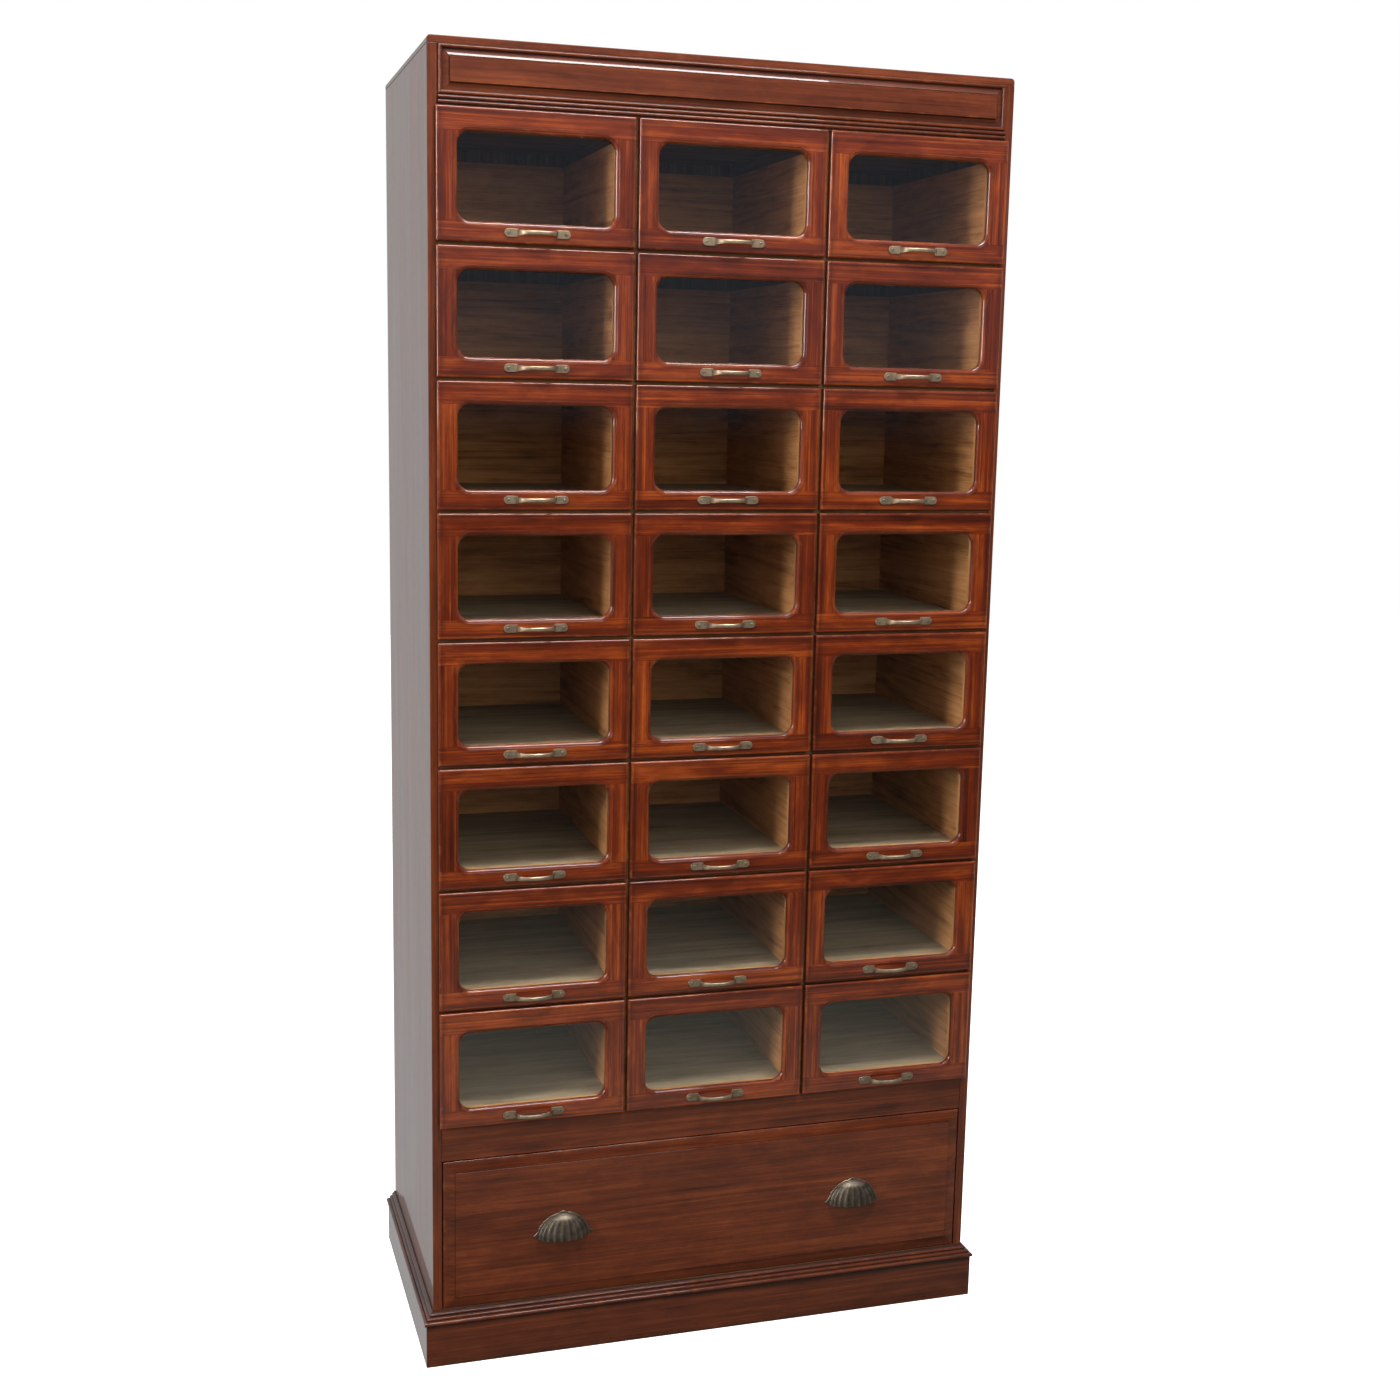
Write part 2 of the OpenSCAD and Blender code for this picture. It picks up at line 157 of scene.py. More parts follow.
class Tree:
    """A material's node tree, with a short way to add each node."""

    def __init__(self, name: str) -> None:
        """Makes a material with only its output.

        Args:
            name: The material's name.
        """
        self.material = bpy.data.materials.new(name)
        self.material.use_nodes = True
        self.nodes = self.material.node_tree.nodes
        self.links = self.material.node_tree.links
        self.nodes.clear()
        self.output = self.nodes.new("ShaderNodeOutputMaterial")

    def node(self, kind: str, settings: dict, inputs: dict, output: object = 0) -> Value:
        """Adds a node.

        Args:
            kind: The node's type.
            settings: Its properties, and a ramp's stops under "stops".
            inputs: A number, vector or Value for each socket, by name or place.
            output: The name or place of the output to return.

        Returns:
            That output.
        """
        made = self.nodes.new(kind)
        for key, setting in settings.items():
            if key == "stops":
                self._set_stops(made.color_ramp, setting)
            else:
                setattr(made, key, setting)
        for key, value in inputs.items():
            if isinstance(value, Value):
                self.links.new(value.socket, made.inputs[key])
            elif value is not None:
                made.inputs[key].default_value = value
        return Value(self, made.outputs[output])

    def _set_stops(self, ramp: bpy.types.ColorRamp, stops: tuple) -> None:
        """Sets a ramp's stops.

        Args:
            ramp: The ramp.
            stops: Pairs of place and colour, in order.
        """
        while len(ramp.elements) < len(stops):
            ramp.elements.new(1.0)
        for element, (place, colour) in zip(ramp.elements, stops):
            element.position = place
            element.color = (*colour, 1.0)

    def noise(self, at: Value, detail: float = 3.0, rough: float = 0.5, bend: float = 0.0) -> Value:
        """Adds smooth noise about 1 unit across.

        Args:
            at: Where to read it, already scaled.
            detail: How many finer layers it has.
            rough: How strong they are.
            bend: How far it is distorted.

        Returns:
            Its value, from 0 to 1.
        """
        inputs = {"Vector": at, "Scale": 1.0, "Detail": detail, "Roughness": rough,
                  "Distortion": bend}
        return self.node("ShaderNodeTexNoise", {}, inputs)

    def stretched(self, at: Value, along: float, across: float, through: float) -> Value:
        """Scales a place by the number of features per metre.

        Args:
            at: The place.
            along: Features per metre along the grain.
            across: Features per metre across it.
            through: Features per metre through the board.

        Returns:
            The scaled place.
        """
        return self.node("ShaderNodeVectorMath", {"operation": "MULTIPLY"},
                         {0: at, 1: (along, across, through)})

    def mixed(self, share: object, first: object, second: object) -> Value:
        """Mixes two colours.

        Args:
            share: How much of the second there is.
            first: A colour or a Value.
            second: A colour or a Value.

        Returns:
            The mixed colour.
        """
        pair = [(*c, 1.0) if isinstance(c, tuple) else c for c in (first, second)]
        settings = {"data_type": "RGBA"}
        inputs = {FACTOR: share, FIRST_COLOUR: pair[0], SECOND_COLOUR: pair[1]}
        return self.node("ShaderNodeMix", settings, inputs, MIXED_COLOUR)

    def attribute(self, name: str) -> Value:
        """Reads a number stored on the mesh.

        Args:
            name: The attribute's name.

        Returns:
            Its value.
        """
        return self.node("ShaderNodeAttribute", {"attribute_name": name}, {}, "Fac")

    def place(self, coordinates: Coordinates) -> Value:
        """Gives the pattern's place: first along the grain, then across it, then through the board.

        Args:
            coordinates: Where it comes from.

        Returns:
            The place, in metres.
        """
        if coordinates is Coordinates.GRAIN:
            return self.node("ShaderNodeAttribute", {"attribute_name": "grain"}, {}, "Vector")
        order = {Coordinates.LEVEL: "XYZ", Coordinates.DEEP: "YXZ"}[coordinates]
        here = self.node("ShaderNodeTexCoord", {}, {}, "Object")
        split = self.node("ShaderNodeSeparateXYZ", {}, {0: here}).socket.node
        parts = {place: Value(self, split.outputs[letter]) for place, letter in enumerate(order)}
        return self.node("ShaderNodeCombineXYZ", {}, parts)

    def surface(self, inputs: dict, height: Value | None = None, depth: float = 0.0) -> Value:
        """Adds the main shader.

        Args:
            inputs: Its sockets by name.
            height: A height for its bump, or None.
            depth: How deep that bump is, in metres.

        Returns:
            The shader.
        """
        if height is not None:
            bump = {"Height": height, "Distance": depth, "Strength": 1.0}
            inputs = {**inputs, "Normal": self.node("ShaderNodeBump", {}, bump)}
        return self.node("ShaderNodeBsdfPrincipled", {}, inputs, "BSDF")

    def finished(self, shader: Value) -> bpy.types.Material:
        """Connects the shader to the output.

        Args:
            shader: What the surface shows.

        Returns:
            The material.
        """
        self.links.new(shader.socket, self.output.inputs["Surface"])
        return self.material


# ---------------------------------------------------------------- finishes


@dataclass(frozen=True)
class Wood:
    """Straight-grained wood, bare or polished, dirty and darkened by painted shade in its creases,
    and rubbed on its edges.
    """

    name: str
    slot: str
    dark: Colour
    middle: Colour
    light: Colour
    rubbed: Colour
    grime_and_shade: Colour
    roughness: float = 0.26
    polish: float = 0.55
    ribbon: float = 1.0
    band_width: float = 26 * MM
    coordinates: Coordinates = Coordinates.GRAIN

    # Features per metre along the grain, across it and through the board.
    CLOUD = (1.6, 13.0, 13.0)
    LINE = (7.0, 480.0, 480.0)
    PORE = (70.0, 1900.0, 1900.0)
    MOTTLE = (11.0, 34.0, 34.0)
    PATCH = (38.0, 52.0, 52.0)
    RIPPLE = (9.0, 30.0, 30.0)
    BAND_ALONG = 1.7
    # How much each pattern adds to the shade, and how far all of it is darkened.
    BAND_SHARE = 0.42
    LINE_SHARE = 0.26
    CLOUD_SHARE = 0.2
    MOTTLE_SHARE = 0.26
    DARKENING = 0.07
    BUMP_DEPTH = 0.25 * MM

    def material(self) -> bpy.types.Material:
        """Builds the wood's material.

        Returns:
            The material.
        """
        tree = Tree(self.name)
        at = tree.place(self.coordinates)
        per_band = 1.0 / self.band_width
        cloud = tree.noise(tree.stretched(at, *self.CLOUD), 2.0, 0.5, 0.4)
        band = tree.noise(tree.stretched(at, self.BAND_ALONG, per_band, per_band), 4.0, 0.62,
                          0.7 * self.ribbon)
        line = tree.noise(tree.stretched(at, *self.LINE), 3.0, 0.7)
        pore = tree.noise(tree.stretched(at, *self.PORE), 1.0)
        mottle = tree.noise(tree.stretched(at, *self.MOTTLE), 4.0, 0.6, 0.5)
        shade = self.BAND_SHARE * band + self.LINE_SHARE * line + self.CLOUD_SHARE * cloud
        shade = shade + self.MOTTLE_SHARE * mottle - self.DARKENING
        stops = ((0.34, self.dark), (0.5, self.middle), (0.66, self.light))
        colour = tree.node("ShaderNodeValToRGB", {"stops": stops}, {"Fac": shade}, "Color")
        pores = pore.between(0.6, 0.72) * 0.4
        colour = tree.mixed(pores, colour, self.dark)
        patch = tree.noise(tree.stretched(at, *self.PATCH), 4.0, 0.65)
        wear = tree.attribute("wear") * patch.between(0.52, 0.7) * 0.6
        colour = tree.mixed(wear.clipped(), colour, self.rubbed)
        # Painted shade with real dirtiness: the wood goes to its darkest colour where the mesh
        # marks creases, steps, gaps and outer edges.
        dirt_and_shade = (tree.attribute("dirt_and_shade") * (0.55 + 0.9 * patch)).clipped()
        colour = tree.mixed(dirt_and_shade, colour, self.grime_and_shade)
        rough = (self.roughness + 0.14 * (cloud - 0.5) + 0.3 * dirt_and_shade + 0.1 * line).clipped()
        ripple = tree.noise(tree.stretched(at, *self.RIPPLE), 2.0)
        height = 0.5 * ripple - 0.22 * pore.between(0.58, 0.72) + 0.1 * line
        surface = tree.surface(
            {"Base Color": colour, "Roughness": rough, "Specular IOR Level": 0.22,
             "Coat Weight": self.polish,
             "Coat Roughness": 0.03},
            height, self.BUMP_DEPTH)
        return tree.finished(surface)


@dataclass(frozen=True)
class OldBrass:
    """Brass gone brown, with yellow metal where fingers rub it."""

    name: str
    slot: str
    tarnish: Colour = (0.17, 0.12, 0.085)
    dull: Colour = (0.36, 0.26, 0.175)
    bright: Colour = (0.8, 0.62, 0.4)
    verdigris: Colour = (0.16, 0.2, 0.15)
    green: float = 0.0

    # Features per metre each way.
    BLOTCH = (70.0, 70.0, 70.0)
    SPECK = (900.0, 900.0, 900.0)
    BLOOM = (160.0, 160.0, 160.0)
    # The dark colour of dirtiness and painted shade.
    GRIME_AND_SHADE = (0.03, 0.024, 0.018)
    BUMP_DEPTH = 0.12 * MM

    def material(self) -> bpy.types.Material:
        """Builds the metal's material.

        Returns:
            The material.
        """
        tree = Tree(self.name)
        at = tree.place(Coordinates.LEVEL)
        blotch = tree.noise(tree.stretched(at, *self.BLOTCH), 4.0, 0.6)
        speck = tree.noise(tree.stretched(at, *self.SPECK), 3.0, 0.6)
        colour = tree.mixed(blotch.between(0.36, 0.66), self.tarnish, self.dull)
        rub = (tree.attribute("wear") * (0.25 + 1.1 * blotch)).clipped()
        colour = tree.mixed(rub, colour, self.bright)
        # Painted shade with real dirtiness: darkens the brass inside the cup, in the flutes'
        # hollows, round the screw heads and where the feet meet the wood.
        dirt_and_shade = (tree.attribute("dirt_and_shade") * (0.5 + 0.6 * speck)).clipped()
        colour = tree.mixed(dirt_and_shade, colour, self.GRIME_AND_SHADE)
        bloom = tree.noise(tree.stretched(at, *self.BLOOM), 2.0).between(0.58, 0.7) * self.green
        colour = tree.mixed(bloom, colour, self.verdigris)
        metal = (0.95 - 0.5 * dirt_and_shade - 0.8 * bloom).clipped()
        rough = (0.5 - 0.24 * rub + 0.2 * speck).clipped()
        surface = tree.surface({"Base Color": colour, "Roughness": rough, "Metallic": metal}, speck,
                               self.BUMP_DEPTH)
        return tree.finished(surface)


@dataclass(frozen=True)
class OldGlass:
    """Clear sheet glass with a slight cast, which lets the studio's light through to the drawer."""

    name: str
    slot: str
    cast: Colour = (0.9, 0.94, 0.93)

    # Features per metre each way.
    WAVE = (7.0, 7.0, 7.0)
    REFRACTION = 1.5
    BUMP_DEPTH = 0.4 * MM

    def material(self) -> bpy.types.Material:
        """Builds the glass's material.

        Returns:
            The material.
        """
        tree = Tree(self.name)
        at = tree.place(Coordinates.LEVEL)
        wave = tree.noise(tree.stretched(at, *self.WAVE), 1.0)
        glass = tree.surface(
            {"Base Color": (*self.cast, 1.0), "Roughness": 0.0, "IOR": self.REFRACTION,
             "Transmission Weight": 1.0},
            wave, self.BUMP_DEPTH)
        clear = tree.node("ShaderNodeBsdfTransparent", {}, {"Color": (*self.cast, 1.0)})
        lamp_ray = tree.node("ShaderNodeLightPath", {}, {}, "Is Shadow Ray")
        return tree.finished(tree.node("ShaderNodeMixShader", {},
                                       {0: lamp_ray, 1: glass, 2: clear}))


MAHOGANY = Wood(
    "polished_mahogany", "mahogany", dark=(0.022, 0.003, 0.0015), middle=(0.135, 0.0185, 0.0038),
    light=(0.37, 0.072, 0.0095), rubbed=(0.4, 0.12, 0.03), grime_and_shade=(0.012, 0.0025, 0.002), polish=1.0,
    band_width=9 * MM)
CASE_MAHOGANY = Wood(
    "case_mahogany", "mahogany", dark=(0.034, 0.007, 0.003), middle=(0.105, 0.0215, 0.007),
    light=(0.2, 0.045, 0.012), rubbed=(0.3, 0.085, 0.024), grime_and_shade=(0.01, 0.003, 0.002), polish=0.42,
    band_width=12 * MM)
DARK_MAHOGANY = Wood(
    "dark_mahogany", "dark_mahogany", dark=(0.028, 0.006, 0.003), middle=(0.088, 0.02, 0.008),
    light=(0.165, 0.039, 0.012), rubbed=(0.26, 0.08, 0.024), grime_and_shade=(0.008, 0.003, 0.002),
    band_width=14 * MM)
DEAL = Wood(
    "drawer_pine", "pine", dark=(0.15, 0.05, 0.016), middle=(0.5, 0.205, 0.075),
    light=(0.68, 0.32, 0.13),
    rubbed=(0.5, 0.3, 0.13), grime_and_shade=(0.07, 0.04, 0.02), roughness=0.62, polish=0.0, ribbon=3.2,
    band_width=34 * MM)
DUSTY_DEAL = Wood(
    "dusty_pine", "pine", dark=(0.17, 0.11, 0.065), middle=(0.33, 0.225, 0.14),
    light=(0.45, 0.325, 0.215),
    rubbed=(0.4, 0.3, 0.2), grime_and_shade=(0.07, 0.05, 0.03), roughness=0.8, polish=0.0, ribbon=1.6,
    band_width=30 * MM)
BACK_DEAL = Wood(
    "back_pine", "pine", dark=(0.05, 0.022, 0.009), middle=(0.15, 0.07, 0.028),
    light=(0.25, 0.13, 0.055),
    rubbed=(0.25, 0.14, 0.06), grime_and_shade=(0.02, 0.012, 0.007), roughness=0.75, polish=0.0, ribbon=2.0)
CARCASS_DEAL = {
    way: Wood(f"carcass_pine_{way.name.lower()}", "pine", dark=(0.045, 0.018, 0.007),
              middle=(0.13, 0.058, 0.022),
              light=(0.21, 0.1, 0.04), rubbed=(0.25, 0.14, 0.06), grime_and_shade=(0.02, 0.012, 0.007),
              roughness=0.7,
              polish=0.0, ribbon=1.8, coordinates=way)
    for way in (Coordinates.LEVEL, Coordinates.DEEP)}
PULL_BRASS = OldBrass("pull_brass", "brass")
CUP_BRASS = OldBrass("cup_brass", "brass", green=0.15, tarnish=(0.075, 0.058, 0.042),
                     dull=(0.16, 0.125, 0.092),
                     bright=(0.36, 0.29, 0.21))
GLASS = OldGlass("sheet_glass", "glass")


class Finishes:
    """Makes each finish's material once."""

    made: dict[str, bpy.types.Material] = {}

    @classmethod
    def of(cls, finish: Wood | OldBrass | OldGlass) -> bpy.types.Material:
        """Gives a finish's material.

        Args:
            finish: The finish.

        Returns:
            Its material.
        """
        if finish.name not in cls.made:
            cls.made[finish.name] = finish.material()
        return cls.made[finish.name]

    @classmethod
    def dress_node(cls, node: str, finish: Wood | OldBrass | OldGlass) -> None:
        """Gives a CAD node its finish.

        Args:
            node: The node's name.
            finish: The finish.
        """
        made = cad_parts[node]
        made.data.materials.clear()
        made.data.materials.append(cls.of(finish))
        log.info("dressed %s in %s", node, finish.name)


# ---------------------------------------------------------------- solids


@dataclass(frozen=True)
class Dot:
    """A point of a solid, with how rubbed it is, how dirty it is and how much painted shade it
    gets.
    """

    at: Vector
    wear: float = 0.0
    dirt_and_shade: float = 0.0


Ring = list[Dot]


def oblong(half_w: float, half_h: float, radius: float, y: float, middle: Vector, wear: float = 0.0,
           dirt_and_shade: float = 0.0) -> Ring:
    """Makes a ring round a rectangle with rounded corners that faces the front.

    Args:
        half_w: Half its width.
        half_h: Half its height.
        radius: Its corners' radius.
        y: How far behind the middle it lies.
        middle: The middle, in the row frame.
        wear: How rubbed it is.
        dirt_and_shade: How dirty it is and how much painted shade it gets.

    Returns:
        The ring.
    """
    ring = []
    for quarter, (side, rise) in enumerate(((1, 1), (-1, 1), (-1, -1), (1, -1))):
        for step in range(CORNER_STEPS + 1):
            turn = math.radians(90 * (quarter + step / CORNER_STEPS))
            x = side * (half_w - radius) + radius * math.cos(turn)
            z = rise * (half_h - radius) + radius * math.sin(turn)
            ring.append(Dot(middle + Vector((x, y, z)), wear, dirt_and_shade))
    return ring


def arc(x: float, y: float, radius: float, start: float, end: float,
        steps: int = 6) -> list[tuple[float, float]]:
    """Gives points round an arc.

    Args:
        x: Its centre.
        y: Its centre.
        radius: Its radius.
        start: Its first angle, in degrees.
        end: Its last angle.
        steps: How many chords it has.

    Returns:
        The points.
    """
    turns = [math.radians(start + (end - start) * k / steps) for k in range(steps + 1)]
    return [(x + radius * math.cos(t), y + radius * math.sin(t)) for t in turns]


class Solid:
    """One closed solid, skinned from rings of points."""

    def __init__(self) -> None:
        """Starts an empty solid."""
        self.bm = bmesh.new()
        self.wear = self.bm.verts.layers.float.new("wear")
        # This layer marks real dirtiness together with painted shade in creases, steps and gaps.
        self.dirt_and_shade = self.bm.verts.layers.float.new("dirt_and_shade")
        self.grain = self.bm.loops.layers.float_vector.new("grain")

    def skin(self, rings: list[Ring], endless: bool = False) -> "Solid":
        """Joins each ring to the next.

        Args:
            rings: Rings with the same number of points.
            endless: Joins the last ring to the first; otherwise both ends are capped.

        Returns:
            This solid.
        """
        rows = [[self._vertex(dot) for dot in ring] for ring in rings]
        pairs = list(zip(rows, rows[1:])) + ([(rows[-1], rows[0])] if endless else [])
        for low, high in pairs:
            for k in range(len(low)):
                after = (k + 1) % len(low)
                self.bm.faces.new((low[k], low[after], high[after], high[k]))
        if not endless:
            self.bm.faces.new(list(reversed(rows[0])))
            self.bm.faces.new(rows[-1])
        bmesh.ops.remove_doubles(self.bm, verts=self.bm.verts, dist=MERGE_GAP)
        bmesh.ops.recalc_face_normals(self.bm, faces=self.bm.faces)
        return self

    def _vertex(self, dot: Dot) -> bmesh.types.BMVert:
        """Adds a vertex.

        Args:
            dot: Where it goes and how it is worn.

        Returns:
            The vertex.
        """
        made = self.bm.verts.new(dot.at)
        made[self.wear] = dot.wear
        made[self.dirt_and_shade] = dot.dirt_and_shade
        return made

    def kept_between(self, low: float, high: float) -> "Solid":
        """Cuts off what is below one height and above another.

        Args:
            low: The lower height.
            high: The upper height.

        Returns:
            This solid.
        """
        for height, way in ((low, -1), (high, 1)):
            everything = self.bm.verts[:] + self.bm.edges[:] + self.bm.faces[:]
            cut = bmesh.ops.bisect_plane(self.bm, geom=everything, plane_co=(0, 0, height),
                                         plane_no=(0, 0, way),
                                         clear_outer=True)
            rim = [e for e in cut["geom_cut"] if isinstance(e, bmesh.types.BMEdge)]
            if rim:
                bmesh.ops.edgenet_fill(self.bm, edges=rim)
        bmesh.ops.recalc_face_normals(self.bm, faces=self.bm.faces)
        return self

    def board(self, low: Vector, high: Vector, softness: float = 1.2 * MM,
              wear: float = 0.7) -> "Solid":
        """Makes a plain board with softened edges.

        Args:
            low: Its lowest corner.
            high: Its highest corner.
            softness: The width of the softening.
            wear: How rubbed its edges are.

        Returns:
            This solid.
        """
        made = bmesh.ops.create_cube(self.bm, size=1.0)["verts"]
        size = high - low
        for vertex in made:
            spot = vertex.co + Vector((0.5, 0.5, 0.5))
            vertex.co = low + Vector((spot.x * size.x, spot.y * size.y, spot.z * size.z))
        bmesh.ops.bevel(self.bm, geom=self.bm.edges[:], offset=softness, segments=2, profile=0.5,
                        affect="EDGES", clamp_overlap=True)
        for vertex in self.bm.verts:
            inside = [min(vertex.co[k] - low[k], high[k] - vertex.co[k]) for k in range(3)]
            vertex[self.wear] = wear if sorted(inside)[1] < 0.8 * softness else 0.0
        return self

    def with_grain(self, along: Axis, luck: random.Random) -> "Solid":
        """Runs the grain one way, at a place in the tree that no other board shares.

        Args:
            along: The way it runs.
            luck: Where the place comes from.

        Returns:
            This solid.
        """
        order = [along.value] + [k for k in range(3) if k != along.value]
        shift = Vector([luck.uniform(0.0, GRAIN_SPREAD) for _ in range(3)])
        for face in self.bm.faces:
            for loop in face.loops:
                loop[self.grain] = Vector([loop.vert.co[k] for k in order]) + shift
        return self


class Piece:
    """A named piece of the cabinet, gathered from solids."""

    def __init__(self, name: str, finish: Wood | OldBrass | OldGlass) -> None:
        """Starts a piece.

        Args:
            name: Its name.
            finish: Its finish.
        """
        self.name = name
        self.finish = finish
        self.luck = random.Random(name)
        self.solids: list[Solid] = []

    def add(self, solid: Solid, along: Axis = Axis.X) -> None:
        """Adds a solid.

        Args:
            solid: The solid.
            along: The way its grain runs.
        """
        self.solids.append(solid.with_grain(along, self.luck))

    def place(self, body: str, *nodes: str) -> bpy.types.Object:
        """Makes the object and puts it in the cabinet.

        Args:
            body: The body that it moves with.
            nodes: The CAD nodes that it stands for.

        Returns:
            The object.
        """
        whole = bmesh.new()
        for solid in self.solids:
            part = bpy.data.meshes.new("part")
            solid.bm.to_mesh(part)
            solid.bm.free()
            whole.from_mesh(part)
            bpy.data.meshes.remove(part)
        mesh = bpy.data.meshes.new(self.name)
        whole.to_mesh(mesh)
        whole.free()
        mesh.shade_smooth()
        mesh.set_sharp_from_angle(angle=SHARP_ANGLE)
        mesh.materials.append(Finishes.of(self.finish))
        made = bpy.data.objects.new(self.name, mesh)
        bpy.context.scene.collection.objects.link(made)
        smoother = made.modifiers.new("even_normals", "WEIGHTED_NORMAL")
        smoother.keep_sharp = True
        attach(made, body)
        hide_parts(*nodes)
        log.info("made %s, %d faces", self.name, len(mesh.polygons))
        return made


# ---------------------------------------------------------------- carcass


@dataclass
class Carcass:
    """The standing case: sides, top, rail and the boards inside."""

    softness: float = 1.6 * MM
    top_round: float = 6 * MM
    back_count: int = 6

    def build(self) -> None:
        """Makes the case."""
        for side in ("left_side", "right_side"):
            self.plain_board(f"{side}_panel", side, Axis.Z, CASE_MAHOGANY)
        self.plain_board("lower_rail_board", "lower_rail", Axis.X, CASE_MAHOGANY)
        self.top()
        self.back()
        Finishes.dress_node("cross_boards", CARCASS_DEAL[Coordinates.LEVEL])
        Finishes.dress_node("partitions", CARCASS_DEAL[Coordinates.DEEP])
        Finishes.dress_node("drawer_runners", CARCASS_DEAL[Coordinates.LEVEL])

    def plain_board(self, name: str, node: str, along: Axis, finish: Wood) -> None:
        """Makes one board in a node's place.

        Args:
            name: The piece's name.
            node: The node that it stands for.
            along: The way its grain runs.
            finish: Its finish.
        """
        low, high = (Vector(c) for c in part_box(node))
        piece = Piece(name, finish)
        piece.add(Solid().board(low, high, self.softness), along)
        piece.place(CARCASS, node)

    def back(self) -> None:
        """Makes the upright boards of the back, each with softened edges."""
        low, high = (Vector(c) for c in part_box("back_boards"))
        wide = (high.x - low.x) / self.back_count
        piece = Piece("back_panel", BACK_DEAL)
        for k in range(self.back_count):
            start = Vector((low.x + k * wide + GLUE_LINE, low.y, low.z))
            end = Vector((low.x + (k + 1) * wide - GLUE_LINE, high.y, high.z))
            piece.add(Solid().board(start, end), Axis.Z)
        piece.place(CARCASS, "back_boards")

    def top(self) -> None:
        """Makes the top board, rounded at its two ends and softened along its front."""
        low, high = (Vector(c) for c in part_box("top_board"))
        half = (high.x - low.x) / 2
        thick = high.z - low.z
        bend = min(self.top_round, thick - self.softness)
        outline = [(-half, 0.0), (half, 0.0)]
        outline += arc(half - bend, thick - bend, bend, 0, 90)
        outline += arc(bend - half, thick - bend, bend, 90, 180)
        rings = []
        for y, inset in ((low.y, self.softness), (low.y + self.softness, 0.0), (high.y, 0.0)):
            shrink = (half - inset) / half
            rings.append([Dot(Vector((x * shrink, y, low.z + min(z, thick - inset))),
                              0.3 if inset else 0.0) for x, z in outline])
        piece = Piece("top_panel", CASE_MAHOGANY)
        piece.add(Solid().skin(rings), Axis.X)
        piece.place(CARCASS, "top_board")


@dataclass
class Frieze:
    """The raised panel under the top, and the reeded strip below it."""

    border: float = 19 * MM
    strip_height: float = 14 * MM
    strip_out: float = 3.5 * MM
    reed: float = 2.8 * MM
    corner_r: float = 0.3 * MM

    def build(self) -> None:
        """Makes the panel and the strip."""
        low, high = (Vector(c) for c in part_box("frieze"))
        strip_top = low.z + self.strip_height
        case_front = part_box("left_side")[0][1]
        self.panel(Vector((low.x, case_front, strip_top)), high, low.y)
        self.strip(Vector((low.x, case_front, low.z)), Vector((high.x, case_front, strip_top)))

    def panel(self, low: Vector, high: Vector, field_y: float) -> None:
        """Makes the panel: a bead, a hollow slope and a sharp step up to the field.

        Args:
            low: The lowest corner behind the border.
            high: The highest corner.
            field_y: The field's face.
        """
        middle = Vector(((low.x + high.x) / 2, low.y, (low.z + high.z) / 2))
        half_w = (high.x - low.x) / 2 - GLUE_LINE
        half_h = (high.z - low.z) / 2 - GLUE_LINE
        out = low.y - field_y
        w = self.border
        # Each point is inset, depth, wear, and dirtiness with painted shade; the dark marked on the
        # back edge and at the two steps is painted shadow.
        profile = [(0.0, high.y - low.y, 0.0, 0.5), (0.0, 0.0, 0.0, 0.9),
                   (0.05 * w, -0.25 * out, 0.4, 0.2)]
        profile += [(w * (0.2 - 0.15 * math.cos(t)), -out * (0.25 + 0.45 * math.sin(t)), 0.45, 0.0)
                    for t in (math.radians(a) for a in (30, 60, 90, 120, 150))]
        profile += [(0.38 * w, -0.12 * out, 0.0, 1.0), (0.45 * w, -0.1 * out, 0.0, 0.4)]
        profile += [(w * (0.48 + 0.4 * t), -out * (0.12 + 0.3 * t * t), 0.1, 0.15)
                    for t in (0.3, 0.6, 1.0)]
        profile += [(0.93 * w, -0.38 * out, 0.0, 1.0), (0.96 * w, -0.86 * out, 0.5, 0.1),
                    (w, -out, 1.0, 0.0)]
        profile += [(1.12 * w, -out, 0.1, 0.0)]
        rings = [oblong(half_w - inset, half_h - inset, self.corner_r, y, middle, wear, dirt_and_shade)
                 for inset, y, wear, dirt_and_shade in profile]
        piece = Piece("frieze_panel", CASE_MAHOGANY)
        piece.add(Solid().skin(rings), Axis.X)
        piece.place(CARCASS, "frieze")

    def strip(self, low: Vector, high: Vector) -> None:
        """Makes the strip of two reeds with quirks between.

        Args:
            low: Its lowest corner, at the case's front.
            high: Its highest corner there.
        """
        tall = high.z - low.z
        flat = self.strip_out
        # Each point is distance out, height, wear, and dirtiness with painted shade; the full dark
        # in the quirks beside each reed is painted shadow.
        outline = [(0.0, 0.0, 0.0, 0.6), (flat, 0.0, 0.2, 0.6)]
        for share in (0.25, 0.75):
            outline.append((flat, tall * share - self.reed, 0.0, 1.0))
            outline += [(x, z, 0.55, 0.0)
                        for x, z in arc(flat, tall * share, self.reed, -70, 70, 6)]
            outline.append((flat, tall * share + self.reed, 0.0, 1.0))
        outline += [(flat, tall, 0.2, 0.6), (0.0, tall, 0.0, 0.6)]
        rings = [[Dot(Vector((x, low.y - out - GLUE_LINE, low.z + z)), wear, dirt_and_shade)
                  for out, z, wear, dirt_and_shade in outline]
                  for x in (low.x + GLUE_LINE, high.x - GLUE_LINE)]
        piece = Piece("reeded_strip", DARK_MAHOGANY)
        piece.add(Solid().skin(rings), Axis.X)
        piece.place(CARCASS, "frieze")


